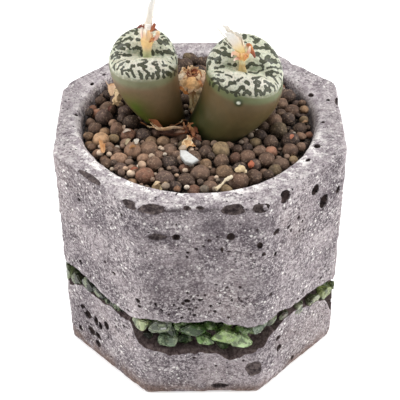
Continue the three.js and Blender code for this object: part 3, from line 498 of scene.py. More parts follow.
# Shaders
class Maker:
    """One material, with short names for its nodes. Colours are tuples as they look on a screen."""

    def __init__(self, name, roughness, **sockets):
        self.material = bpy.data.materials.new(name)
        self.material.use_nodes = True
        self.tree = self.material.node_tree
        self.shader = self.tree.nodes["Principled BSDF"]
        self.put("Roughness", roughness)
        for socket, value in sockets.items():
            self.put(socket.replace("_", " "), value)
        self.place = self.tree.nodes.new("ShaderNodeTexCoord").outputs["Object"]

    def put(self, socket, value, node=None):
        """Links or sets a socket of a node, or else of the shader."""
        socket = (node or self.shader).inputs[socket]
        if isinstance(value, bpy.types.NodeSocket):
            self.tree.links.new(value, socket)
        elif isinstance(value, tuple):
            socket.default_value = (*linear(*value), 1)
        else:
            socket.default_value = value

    def node(self, kind, inputs, **settings):
        """The outputs of a new node."""
        node = self.tree.nodes.new(kind)
        for setting, value in settings.items():
            setattr(node, setting, value)
        for socket, value in inputs.items():
            self.put(socket, value, node)
        return node.outputs

    def number(self, name):
        return self.node("ShaderNodeAttribute", {}, attribute_name=name)["Fac"]

    def colour(self, name):
        return self.node("ShaderNodeAttribute", {}, attribute_name=name)["Color"]

    def noise(self, size_mm, detail=3, rough=0.55):
        inputs = {"Scale": 1 / (size_mm * MM), "Detail": detail, "Roughness": rough, "Vector": self.place}
        return self.node("ShaderNodeTexNoise", inputs)["Fac"]

    def cells(self, size_mm, randomness=1.0):
        """How far a place is from the middle of the nearest cell."""
        inputs = {"Scale": 1 / (size_mm * MM), "Randomness": randomness, "Vector": self.place}
        return self.node("ShaderNodeTexVoronoi", inputs)["Distance"]

    def ramp(self, value, low, high, start=0.0, end=1.0):
        """A number mapped from low..high to start..end and kept in that range."""
        inputs = {"Value": value, "From Min": low, "From Max": high, "To Min": start, "To Max": end}
        return self.node("ShaderNodeMapRange", inputs)["Result"]

    def patches(self, size_mm, low, high, start=0.0, end=1.0, detail=3, rough=0.55):
        """Soft patches of about one size."""
        return self.ramp(self.noise(size_mm, detail, rough), low, high, start, end)

    def times(self, first, second):
        return self.node("ShaderNodeMath", {0: first, 1: second}, operation="MULTIPLY")["Value"]

    def plus(self, first, second):
        return self.node("ShaderNodeMath", {0: first, 1: second}, operation="ADD")["Value"]

    def blend(self, share, first, second):
        return self.node("ShaderNodeMix", {0: share, 6: first, 7: second}, data_type="RGBA")[2]

    def done(self, colour, height, distance_mm, strength):
        """The material with its colour and a surface that rises and falls with a height."""
        self.put("Base Color", colour)
        inputs = {"Distance": distance_mm * MM, "Strength": strength, "Height": height}
        self.put("Normal", self.node("ShaderNodeBump", inputs)["Normal"])
        return self.material


# Layers of the concrete's colour: size in millimetres, detail, low, high, most, colour
CONCRETE_PATCHES = [
    (22, 2, 0.5, 0.66, 0.45, (150, 134, 130)), (4.2, 3, 0.5, 0.62, 0.6, (90, 78, 85)),
    (7, 3, 0.52, 0.64, 0.4, (186, 176, 178)),
]
# Pale flecks and dark pinholes: size in millimetres, how few there are, colour
CONCRETE_FLECKS = [(1.7, 0.54, (240, 236, 232)), (1.05, 0.52, (240, 236, 232)), (0.65, 0.5, (224, 217, 217))]
CONCRETE_PINHOLES = [(1.5, 0.56), (0.8, 0.54)]
# Where the mesh says that the concrete is dark: name, darkest and palest colour. The foot and the groove are
# darker in colour; in the hollows and pits the dark is painted shade on their deeper faces.
CONCRETE_DARK = [
    ("foot", (92, 70, 60), (134, 110, 98)), ("groove", (74, 58, 59), (120, 103, 101)),
    ("hollow_shade", (56, 45, 47), (112, 99, 96)), ("pit_shade", (36, 26, 27), (80, 64, 61)),
]


def concrete_material():
    make = Maker("cast_concrete", 0.9)
    wear = make.number("wear")
    colour = make.blend(make.patches(12, 0.4, 0.6), (85, 73, 81), (169, 157, 160))
    for size, detail, low, high, most, tint in CONCRETE_PATCHES:
        colour = make.blend(make.patches(size, low, high, 0, most, detail), colour, tint)
    grit = make.noise(0.8, 3, 0.8)
    fine = make.noise(0.45, 2, 0.7)
    gritty = make.patches(8, 0.4, 0.58, 0.55, 1.15, 2)
    colour = make.blend(make.times(gritty, make.ramp(grit, 0.38, 0.5, 0.78, 0)), colour, (64, 54, 58))
    colour = make.blend(make.times(gritty, make.ramp(grit, 0.5, 0.62, 0, 0.78)), colour, (210, 202, 202))
    colour = make.blend(make.ramp(fine, 0.4, 0.5, 0.35, 0), colour, (82, 72, 77))
    colour = make.blend(make.ramp(fine, 0.52, 0.62, 0, 0.4), colour, (212, 205, 206))
    for size, cover, tint in CONCRETE_FLECKS:
        near = make.plus(make.noise(size * 2.3, 1), make.times(wear, 0.08))
        fleck = make.ramp(make.cells(size), 0.14, 0.26, 1, 0)
        colour = make.blend(make.times(fleck, make.ramp(near, cover, cover + 0.03)), colour, tint)
    lavender = make.blend(make.patches(2.6, 0.42, 0.58), (156, 145, 151), (210, 201, 203))
    colour = make.blend(make.times(wear, make.ramp(grit, 0.36, 0.56, 0.35, 1)), colour, lavender)
    chalk = make.times(make.number("chalk"), make.patches(1.8, 0.49, 0.58, 0, 0.95, 4, 0.75))
    colour = make.blend(chalk, colour, (250, 246, 242))
    for size, cover in CONCRETE_PINHOLES:
        sparse = make.patches(size * 3, cover, cover + 0.03, detail=1)
        pinhole = make.ramp(make.cells(size, 0.9), 0.14, 0.2, 1, 0)
        colour = make.blend(make.times(pinhole, sparse), colour, (46, 38, 42))
    blot = make.patches(0.9, 0.42, 0.62, rough=0.7)
    # Real stains, and painted shade over the front face, darken the concrete here
    colour = make.blend(make.times(make.number("stain_and_front_shade"), make.ramp(blot, 0, 1, 1, 0.6)), colour, (84, 74, 80))
    # Painted shadow in a thin line just under the rim
    colour = make.blend(make.number("shadow_under_rim"), colour, (72, 62, 65))
    for name, darkest, palest in CONCRETE_DARK:
        colour = make.blend(make.number(name), colour, make.blend(blot, darkest, palest))
    height = make.plus(make.noise(0.8, 4, 0.7), make.times(make.noise(2.6, 2), 0.8))
    return make.done(colour, height, 0.4, 0.8)


def grain_material():
    make = Maker("mineral_grain", 0.75)
    mottle = make.ramp(make.patches(1.5, 0.4, 0.6, rough=0.6), 0, 1, 0.5, 0)
    colour = make.blend(mottle, make.colour("tint"), (44, 32, 26))
    dust = make.patches(0.5, 0.54, 0.66, 0, 0.35, 2, 0.7)
    colour = make.blend(dust, colour, (204, 174, 144))
    return make.done(colour, make.noise(0.8, 3, 0.7), 0.35, 0.8)


def leaf_material():
    make = Maker("leaf_skin", 0.42, Subsurface_Weight=0.05, Subsurface_Scale=0.0015)
    face = make.number("face")
    pale = make.times(face, make.patches(0.8, 0.48, 0.62, 0, 0.45))
    skin = make.blend(pale, make.colour("tint"), (226, 224, 206))
    dots = make.times(face, make.patches(0.45, 0.36, 0.48, 0.5, 0, 2))
    skin = make.blend(dots, skin, (120, 134, 108))
    skin = make.blend(make.patches(1.6, 0.42, 0.6, 0.14, 0), skin, (70, 66, 38))
    ragged = make.plus(make.number("mark"), make.patches(0.85, 0.3, 0.7, -0.21, 0.19))
    inside = make.ramp(ragged, 0.0, 0.12, 1, 0)
    core = make.ramp(ragged, -0.36, -0.12, 0.6, 0)
    dark = make.blend(core, (36, 40, 20), (78, 82, 52))
    colour = make.blend(make.times(inside, 0.95), skin, dark)
    return make.done(colour, make.noise(0.6, 2), 0.05, 0.4)


def dry_material(name, roughness=0.75, see_through=0.0, veined=0.25, glow=0.0):
    """Papery tissue that takes its colour from its vertices, and glows in that colour by the glow's strength,
    as painted light.
    """
    make = Maker(name, roughness, Transmission_Weight=see_through, Emission_Strength=glow)
    colour = make.blend(make.patches(0.5, 0.3, 0.75, veined, 0), make.colour("tint"), (120, 70, 42))
    # Painted light: the tissue glows in its own colour
    make.put("Emission Color", colour)
    return make.done(colour, make.noise(0.35, 2), 0.1, 0.6)


def glass_material():
    make = Maker("broken_glass", 0.1, IOR=1.45, Transmission_Weight=0.4)
    colour = make.blend(make.patches(2.0, 0.42, 0.54, 0.75, 0), make.colour("tint"), (34, 50, 20))
    cloud = make.patches(1.7, 0.5, 0.62)
    colour = make.blend(make.times(cloud, 0.4), colour, (208, 220, 176))
    make.put("Roughness", make.ramp(cloud, 0, 1, 0.06, 0.35))
    return make.done(colour, make.noise(1.2, 2), 0.2, 0.6)


FLOOR_COLOUR = (0.93, 0.93, 0.93, 1)


def floor_material():
    make = Maker("pale_floor", 0.9, Emission_Color=(255, 255, 255), Emission_Strength=0.44)
    make.shader.inputs["Base Color"].default_value = FLOOR_COLOUR
    return make.material


# Pot
def facet_turn(facet):
    """The way that a facet faces, as an angle."""
    return FRONT_ANGLE + facet * FACET_ANGLE


def facet_point(facet, along, scale, z):
    turn = facet_turn(facet)
    x = APOTHEM * math.cos(turn) - along * math.sin(turn)
    y = APOTHEM * math.sin(turn) + along * math.cos(turn)
    return np.array([x * scale, y * scale, z])


def facet_normal(facet):
    return np.array([math.cos(facet_turn(facet)), math.sin(facet_turn(facet)), 0])


def facet_along(facet):
    return np.array([-math.sin(facet_turn(facet)), math.cos(facet_turn(facet)), 0])


def distance_along(facet, place):
    return np.dot(place, facet_along(facet))


def round_place(facet, along):
    return facet * 2 * HALF_FACET + along


def edge_height(edge, places):
    """Where an edge of the band lies at distances round the pot."""
    known = sorted((round_place(facet, along), z) for facet, spots in edge.items() for along, z in spots)
    xs, zs = zip(*known)
    return np.interp(places, xs, zs, period=ROUND_LENGTH)


POT_STATIONS_FLAT = 52
POT_STATIONS_ARC = 4


def pot_stations():
    """Points round the pot's outline and the way out from each."""
    round_centre = CORNER_REACH - CORNER_RADIUS / math.cos(FACET_ANGLE / 2)
    flat_half = HALF_FACET - CORNER_RADIUS * math.tan(FACET_ANGLE / 2)
    points, outs = [], []
    for facet in range(FACETS):
        normal = facet_turn(facet)
        for step in range(POT_STATIONS_FLAT):
            along = mix(-flat_half, flat_half, step / (POT_STATIONS_FLAT - 1))
            points.append(facet_point(facet, along, 1, 0)[:2])
            outs.append((math.cos(normal), math.sin(normal)))
        for step in range(1, POT_STATIONS_ARC):
            middle = normal + FACET_ANGLE / 2
            turn = normal + FACET_ANGLE * step / POT_STATIONS_ARC
            out = np.array([math.cos(turn), math.sin(turn)])
            centre = round_centre * np.array([math.cos(middle), math.sin(middle)])
            points.append(centre + CORNER_RADIUS * out)
            outs.append(out)
    return np.array(points), np.array(outs)


WALL_STEP = 0.53
TOP_RINGS = 17
INSIDE_MOUTH = 26


def pot_shell():
    """The pot's outside as a closed solid with a fine, uneven surface."""
    points, outs = pot_stations()
    sides = len(points)
    turns = np.arctan2(points[:, 1], points[:, 0])
    round_dirs = np.stack([np.cos(turns), np.sin(turns)], 1)
    rings = []

    def ring(flat, z):
        rings.append(np.column_stack([flat, np.full(sides, z)]))

    foot = points - BASE_BEVEL * outs
    for share in (0.3, 0.6, 0.85):
        ring(mix(round_dirs * 2.5, foot, share), 0.0)
    for turn in (0, 30, 60, 90):
        angle = math.radians(turn)
        inset = BASE_BEVEL * (1 - math.sin(angle))
        ring(points - inset * outs, BASE_BEVEL * (1 - math.cos(angle)))
    levels = int((POT_HEIGHT - BASE_BEVEL - RIM_BEVEL) / WALL_STEP)
    for level in range(1, levels):
        ring(points, mix(BASE_BEVEL, POT_HEIGHT - RIM_BEVEL, level / levels))
    for turn in (0, 22, 45, 67, 90):
        angle = math.radians(turn)
        inset = RIM_BEVEL * (1 - math.cos(angle))
        ring(points - inset * outs, POT_HEIGHT - RIM_BEVEL * (1 - math.sin(angle)))
    edge = points - RIM_BEVEL * outs
    inner = round_dirs * INSIDE_MOUTH + np.array([MOUTH_X, 0])
    for level in range(1, TOP_RINGS):
        ring(mix(edge, inner, level / (TOP_RINGS - 1)), POT_HEIGHT)
    piece = new_piece("pot_body", *ring_solid(rings))
    places = places_of(piece)
    normals = normals_of(piece)
    sink = 0.12 + 0.08 * noise(places, 1.3, 1) + 0.06 * noise(places, 0.8, 2) + 0.10 * noise(places, 6, 3)
    sink = np.where(places[:, 2] < 0.01, 0, np.maximum(sink, 0))
    places = places - sink[:, None] * normals
    worn = 0.25 + 0.5 * step_between(-0.3, 0.7, noise(places, 3.2, 4)) + 0.35 * noise(places, 1.3, 5)
    worn = np.maximum(worn, 0.05)
    for facet in range(FACETS):
        places = planed(places, facet_normal(facet + 0.5), CORNER_REACH - 0.25 - 0.7 * worn)
        normal = facet_normal(facet)
        slope = (normal + (0, 0, 1)) / math.sqrt(2)
        places = planed(places, slope, (APOTHEM + POT_HEIGHT) / math.sqrt(2) - 0.4 - 0.3 * worn)
        foot_slope = (normal - (0, 0, 1)) / math.sqrt(2)
        places = planed(places, foot_slope, APOTHEM / math.sqrt(2) - 0.35 - 0.4 * worn)
    put_places(piece, places)
    return piece


def planed(places, normal, reach):
    """Places moved in to a plane where they lie beyond it."""
    over = np.maximum(places @ np.asarray(normal) - reach, 0)
    return places - over[:, None] * np.asarray(normal)


def facet_reach(places):
    """How far places lie from the pot's axis, measured square to the nearest facet."""
    angles = facet_turn(np.arange(FACETS))
    return (places[:, :2] @ np.stack([np.cos(angles), np.sin(angles)])).max(1)


def round_places(places):
    """How far round the pot each place lies."""
    angles = facet_turn(np.arange(FACETS))
    facet = (places[:, :2] @ np.stack([np.cos(angles), np.sin(angles)])).argmax(1)
    along = places[:, 1] * np.cos(angles[facet]) - places[:, 0] * np.sin(angles[facet])
    return round_place(facet, along)


LIP_STEP = 0.35
CAVITY_SIDES = 300
DRAIN_SIDES = 48


def cavity_profile():
    """Radius and height of the inside wall from the floor to above the rim, with fine steps at the lip."""
    lip = [(SOIL_LINE_RADIUS, SOIL_LINE), *LIP_PROFILE]
    fine = []
    for (r0, z0), (r1, z1) in zip(lip, lip[1:]):
        steps = max(1, int(math.hypot(r1 - r0, z1 - z0) / LIP_STEP))
        fine += [(mix(r0, r1, step / steps), mix(z0, z1, step / steps)) for step in range(steps)]
    low = [(FLOOR_RADIUS, FLOOR_THICKNESS), (WALL_FOOT_RADIUS, FLOOR_THICKNESS + 1.5)]
    return low + fine + [LIP_PROFILE[-1], (LIP_PROFILE[-1][0] + 0.3, POT_HEIGHT + 2)]


def cavity_cutter():
    rings = []
    for radius, z in cavity_profile():
        ring = circle(radius, z, CAVITY_SIDES)
        ring[:, 0] += MOUTH_X
        if 57 < z < POT_HEIGHT + 1:
            swell = 0.14 * noise(ring, 1.5, 6) + 0.16 * noise(ring, 4.5, 7)
            ring[:, :2] *= (1 + swell / radius)[:, None]
        rings.append(ring)
    return new_piece("cavity", *ring_solid(rings))


def drain_cutter():
    rings = [circle(DRAIN_RADIUS, z, DRAIN_SIDES) for z in (-5.0, FLOOR_THICKNESS + 5)]
    return new_piece("drain", *ring_solid(rings))


BAND_FINE_STEP = 0.55


def band_stations(spacing):
    """Facets and distances along them at about one spacing round the pot."""
    per_facet = round(2 * HALF_FACET / spacing)
    spots = [(step / per_facet * 2 - 1) * HALF_FACET for step in range(per_facet)]
    return [(facet, along) for facet in range(FACETS) for along in spots]


def band_cutter():
    """The ring-shaped space of the band, with ragged edges."""
    draw = stream(BAND_SEED)
    coarse = [round_place(facet, along) for facet, along in band_stations(BAND_STATION)]
    depths = [BAND_DEPTH - BAND_DEPTH_SPREAD * draw() for _ in coarse]
    rings = []
    for facet, along in band_stations(BAND_FINE_STEP):
        place = round_place(facet, along)
        rough = noise(np.array([[place, aside, 0] for aside in (0, 9, 18, 27)]), 1.6, 8)
        fine = noise(np.array([[place, aside, 0] for aside in (40, 50, 60, 70)]), 0.8, 9)
        wave = 0.4 * rough + 0.22 * fine
        low = float(edge_height(BAND_BOTTOM, place)) + wave[0]
        high = max(float(edge_height(BAND_TOP, place)) + wave[1], low + 0.5)
        depth = np.interp(place, coarse, depths, period=ROUND_LENGTH) + wave[2]
        roof = max(high - BAND_ROOF_FALL, low + BAND_FLOOR_RISE + 0.3)
        floor = min(low + BAND_FLOOR_RISE, roof - 0.2)
        inner = 1 - depth / APOTHEM
        half = 1 - 0.5 * depth / APOTHEM
        lip = 1 - 0.8 / APOTHEM
        rings.append([facet_point(facet, along, scale, z) for scale, z in (
            (1.06, low - 0.1),
            (1.06, high + 0.1),
            (1.0, high),
            (lip, high - 0.12 + 0.1 * fine[0]),
            (half, mix(high, roof, 0.5) + 0.25 * fine[2]),
            (inner, roof),
            (inner - 0.004, mix(floor, roof, 0.5)),
            (inner, floor),
            (half, mix(low, floor, 0.5) + 0.3 * fine[3] + 0.2 * rough[3]),
            (lip, low + 0.05 + 0.1 * fine[1]),
            (1.0, low),
        )])
    sides, count = len(rings[0]), len(rings)
    faces = []
    for station in range(count):
        for side in range(sides):
            here = station * sides + side
            beside = station * sides + (side + 1) % sides
            ahead = ((station + 1) % count - station) * sides
            faces.append((here, here + ahead, beside + ahead, beside))
    return new_piece("band", np.concatenate(rings), faces)


def pit_shape(centre, outward, wide, tall, level, seed, deep=1.0):
    """An uneven egg that takes a pit out of a face."""
    wide, tall = wide + 0.25, tall + 0.25
    vertices, faces = ball(level)
    uneven = 1 + 0.16 * noise(vertices * 1.4 + seed * 3.7, 1.0, seed)
    uneven += 0.1 * noise(vertices * 3 - seed, 1.0, seed)
    depth = PIT_DEPTH_SHARE * (wide + tall) * deep
    shaped = vertices * uneven[:, None] * (wide / 2, depth / 2, tall / 2)
    return shaped @ rotation("Z", outward + math.pi / 2).T + centre, faces


SMALL_PITS = 260
SMALL_PIT_SEED = 91
# Where small pits gather: facet, along, height, reach, how many
PIT_CLUSTERS = [
    (0, -2.0, 31.5, 3.6, 26), (0, 8.5, 34.0, 3.0, 8), (7, -9.0, 14.0, 3.6, 12), (7, -6.5, 10.5, 3.4, 12),
    (7, -11.5, 30.0, 3.0, 6), (1, -2.0, 47.0, 4.5, 8), (1, -9.0, 56.0, 3.5, 6), (0, -11.0, 31.5, 2.2, 8),
]
# Pixels to a millimetre, across and up the front facet and across the ones beside it, and how far the
# picture of those rises for a millimetre across
PIXELS_ACROSS = 4.1
PIXELS_UP = 3.16
SIDE_FACET_ACROSS = 2.9
SIDE_FACET_RISE = 1.85
FACETS_SEEN = (0, 1, 7)


def on_facet(pixel_x, pixel_y):
    """The facet that a pixel shows and the point on it."""
    for facet in FACETS_SEEN:
        normal = facet_normal(facet)
        point = seen_on_plane(pixel_x, pixel_y, APOTHEM * normal, normal)
        if abs(distance_along(facet, point)) < HALF_FACET + 0.3:
            return facet, point
    return None, None


def seen_pit(pixel_x, pixel_y, wide, tall):
    """Facet, point and size in millimetres of a pit measured in the picture."""
    facet, point = on_facet(pixel_x, pixel_y)
    if facet == 0:
        return facet, point, wide / PIXELS_ACROSS, tall / PIXELS_UP
    across = wide / SIDE_FACET_ACROSS
    up = math.sqrt(max(tall**2 - (SIDE_FACET_RISE * across) ** 2, (0.5 * tall) ** 2)) / PIXELS_UP
    return facet, point, across, up


def hollow_cutters():
    parts = []
    for number, (facet, along, z, wide, tall, deep) in enumerate(SEEN_HOLLOWS):
        centre = facet_point(facet, along, 1 - 0.1 / APOTHEM, z)
        share = 2 * (deep + 0.15) / PIT_DEPTH_SHARE / (wide + tall + 0.5)
        parts.append(pit_shape(centre, facet_turn(facet), wide, tall, 4, 401 + number, share))
    return new_piece("hollows", *joined(parts))


def stains_and_front_shade(places):
    """How much each place is stained, with painted shade added over the whole front face."""
    total = np.zeros(len(places))
    for facet, along, z, wide, tall, strength in SEEN_STAINS:
        beside = 2 * (places @ facet_along(facet) - along) / wide
        above = 2 * (places[:, 2] - z) / tall
        near = places @ facet_normal(facet) > APOTHEM - 1.5
        total += strength * near * np.exp(-((beside**2 + above**2) ** 2))
    # Painted shade: the whole front face is darkened
    front = step_between(APOTHEM - 1.5, APOTHEM - 0.6, -places[:, 1]) * (places[:, 2] < POT_HEIGHT - 0.7)
    return total + FRONT_SHADE * front


def rim_pit(pixel_x, pixel_y, wide, tall, seed):
    """A pit of the picture in the rim's top or in the wall inside it."""
    point = at_height(pixel_x, pixel_y, POT_HEIGHT - 0.15)
    if math.hypot(point[0] - MOUTH_X, point[1]) < 30:
        turn = math.atan2(point[1], point[0] - MOUTH_X)
        way = np.array([math.cos(turn), math.sin(turn), 0])
        point = seen_on_plane(pixel_x, pixel_y, 28.8 * way + (MOUTH_X, 0, 0), way)
    outward = math.atan2(point[1], point[0])
    return pit_shape(point, outward, wide / PIXELS_ACROSS, tall / PIXELS_UP, 3, seed)


def pit_cutters():
    """Pits of the picture and stray ones. A pit that would run into another one is left out."""
    parts = []
    taken = [(facet_point(facet, along, 1, z), wide) for facet, along, z, wide, *rest in SEEN_HOLLOWS]

    def add(centre, outward, wide, tall, level, deep=1.0):
        if any(np.linalg.norm(centre - other) < 0.6 * (wide + reach) for other, reach in taken):
            return
        if centre[2] + tall / 2 > POT_HEIGHT + 0.5 and level < 3:
            return
        taken.append((centre, wide))
        parts.append(pit_shape(centre, outward, wide, tall, level, len(taken), deep))

    def add_to_facet(facet, along, z, wide, tall, level, deep=1.0):
        add(facet_point(facet, along, 1, z), facet_turn(facet), wide, tall, level, deep)

    for entry in SEEN_PITS:
        facet, point, wide, tall = seen_pit(*entry)
        taken.append((point, wide))
        parts.append(pit_shape(point, facet_turn(facet), wide, tall, 3 if wide > 1 else 2, len(taken), 1.3))
    for entry in SEEN_RIM_PITS:
        parts.append(rim_pit(*entry, len(parts)))
    for degrees, distance, wide, tall in BACK_RIM_PITS:
        turn = math.radians(degrees)
        add(np.array([distance * math.cos(turn), distance * math.sin(turn), POT_HEIGHT]), turn, wide, tall, 3)
    draw = stream(STRAY_PIT_SEED)
    skip(draw, STRAY_PIT_SKIP)
    for _ in range(STRAY_PITS):
        facet = 1 + math.floor(draw() * (FACETS - 1))
        along = (draw() * 1.8 - 0.9) * HALF_FACET
        z = mix(31, 59, draw()) if draw() < 0.7 else mix(2.5, 11, draw())
        wide = mix(1.3, 2.6, draw() ** 2)
        tall = wide * mix(0.7, 1.1, draw())
        skip(draw, 2)
        if facet not in FACETS_SEEN:
            add_to_facet(facet, along, z, wide, tall, 3)
    draw = stream(SMALL_PIT_SEED)
    for facet, along, z, reach, count in PIT_CLUSTERS:
        for _ in range(count):
            spot = along + reach * (draw() + draw() - 1)
            height = z + 0.8 * reach * (draw() + draw() - 1)
            wide = mix(0.4, 1.2, draw() ** 1.5)
            add_to_facet(facet, spot, height, wide, wide * mix(0.7, 1.4, draw()), 1, 1.3)
    for _ in range(SMALL_PITS):
        facet = math.floor(draw() * FACETS)
        along = (draw() * 1.9 - 0.95) * HALF_FACET
        z = mix(1.5, 61, draw())
        wide = mix(0.35, 0.9, draw() ** 2)
        add_to_facet(facet, along, z, wide, wide * mix(0.7, 1.3, draw()), 1, 1.3)
    return new_piece("pits", *joined(parts))


def worn_corner_cutter():
    turn = math.radians(BACK_CORNER_ANGLE)
    vertices, faces = ball(3)
    uneven = 1 + 0.12 * noise(vertices * 2, 1.0, 12)
    shaped = vertices * uneven[:, None] * (3.4, 4.2, 4.6)
    reach = CORNER_REACH + 1.6
    centre = np.array([reach * math.cos(turn), reach * math.sin(turn), POT_HEIGHT + 1.6])
    return new_piece("worn", shaped @ rotation("Z", turn).T + centre, faces)


def make_pot():
    piece = pot_shell()
    made_by = cut(piece, [
        cavity_cutter(), drain_cutter(), band_cutter(), worn_corner_cutter(), hollow_cutters(), pit_cutters(),
    ])
    places = places_of(piece)
    x, y, z = places.T
    depth = cut_depth(vectors(piece.data.polygons, "center") / MM)
    put(piece, "groove", made_by == 3, "FACE")
    # Painted shade in the hollows and pits, on their deeper faces
    put(piece, "hollow_shade", (made_by == 5) * step_between(0.1, 0.3, depth), "FACE")
    put(piece, "pit_shade", (made_by == 6) * step_between(0.2, 0.4, depth), "FACE")
    put(piece, "stain_and_front_shade", stains_and_front_shade(places))
    edge = step_between(POT_HEIGHT - 0.65, POT_HEIGHT - 0.3, z)
    lip = bell(np.hypot(x - MOUTH_X, y), 29.8, 1.7) * (z > 60) * mix(1, 0.5, step_between(-18, 4, y))
    reach = facet_reach(places)
    on_face = reach > APOTHEM - 0.8
    corner = step_between(36.6, 37.6, np.hypot(x, y)) * (reach > 34)
    round_way = round_places(places)
    above_band = bell(z, edge_height(BAND_TOP, round_way), 1.5)
    below_band = bell(z, edge_height(BAND_BOTTOM, round_way), 1.0)
    band_edge = (0.4 * above_band + 0.3 * below_band) * on_face
    put(piece, "wear", np.clip(0.5 * edge + 0.75 * lip + 0.1 * corner + band_edge, 0, 1))
    put(piece, "chalk", np.clip((0.3 * edge + 1.1 * lip) * mix(1, 0.45, step_between(-16, -2, y)), 0, 1))
    foot = bell(z, 0, mix(2.6, 3.8, step_between(0, -20, x))) * step_between(-0.8, 0.2, noise(places, 3, 15))
    put(piece, "foot", foot)
    # A thin painted shadow just under the rim, strongest on the front face
    under_rim = bell(z, POT_HEIGHT - 1.0, 0.5) * step_between(-0.2, 0.5, noise(places, 2.5, 16))
    put(piece, "shadow_under_rim", under_rim * on_face * np.where(-y > APOTHEM - 1.2, 1.0, 0.4))
    piece.data.materials.clear()
    piece.data.materials.append(concrete_material())
    hand_over(piece, "pot", 42)


def cut_depth(places):
    """How far places lie behind the nearest facet or below the rim."""
    return np.minimum(APOTHEM - facet_reach(places), POT_HEIGHT - places[:, 2])


# Heads
def head_centre(head, share):
    left = (1 - share) ** 2
    return [mix(head["top"][axis], head["base"][axis], left) for axis in (0, 1)]


def head_radius(head, share):
    return head["rim_radius"] - (head["rim_radius"] - head["base_radius"]) * (1 - share) ** head["swell"]


def head_share(head, z):
    """How far up a head a height lies, from 0 at its base to 1 at its rim."""
    return max(0, (z - HEAD_BASE_Z) / (head["rim_z"] - HEAD_BASE_Z))


def rim_tilt(head, share):
    pitch = math.radians(head["pitch"]) * share**1.5
    roll = math.radians(head["roll"]) * share**1.5
    return rotation("Y", roll) @ rotation("X", pitch)


def head_ring(head, share, angles):
    x, y = head_centre(head, share)
    radius = head_radius(head, share)
    z = mix(HEAD_BASE_Z, head["rim_z"], share)
    depth = mix(1, head["depth_share"], share)
    sag = -head["droop"] * share**3 * np.cos(angles) ** 2
    flat = np.stack([radius * np.cos(angles), radius * depth * np.sin(angles), sag], 1)
    return flat @ rim_tilt(head, share).T + (x, y, z)


def face_points(head, angles, shares):
    """Points of the face at angles and shares of the way from the fissure out to the rim."""
    across = mix(head["fissure"][0], head["rim_radius"] * np.cos(angles), shares)
    back = mix(head["fissure"][1], head["rim_radius"] * head["depth_share"] * np.sin(angles), shares)
    lift = 1 + head["back_lift"] * back / head["rim_radius"]
    rise = head["dome"] * np.sqrt(np.maximum(0, 1 - shares**2.6)) * lift
    valley = FISSURE_DEPTH * bell(back, head["fissure"][1], FISSURE_WIDTH) * (1 - 0.75 * shares**2)
    sag = -head["droop"] * shares**3 * np.cos(angles) ** 2
    flat = np.stack([across, back, rise - valley + sag], 1)
    return flat @ rim_tilt(head, 1).T + (*head["top"], head["rim_z"])


HEAD_SIDES = 288
BODY_RINGS = 84
FACE_RINGS = 84


def head_rings(head):
    """The head's rings from its foot to the fissure, with each ring's share: 0 soil, 1 rim, 2 fissure."""
    angles = 2 * np.pi * np.arange(HEAD_SIDES) / HEAD_SIDES
    rings = [circle(radius, z, HEAD_SIDES) + (*head["base"], 0) for z, radius in head["stump"]]
    shares = [-0.2] * len(rings)
    for ring in range(BODY_RINGS):
        shares.append(ring / BODY_RINGS)
        rings.append(head_ring(head, shares[-1], angles))
    for ring in range(FACE_RINGS):
        out = 1 - (ring / FACE_RINGS) ** 1.5
        rings.append(face_points(head, angles, np.full(HEAD_SIDES, max(out, 0.004))))
        shares.append(2 - out)
    return rings, np.repeat(shares, HEAD_SIDES), np.tile(angles, len(rings))


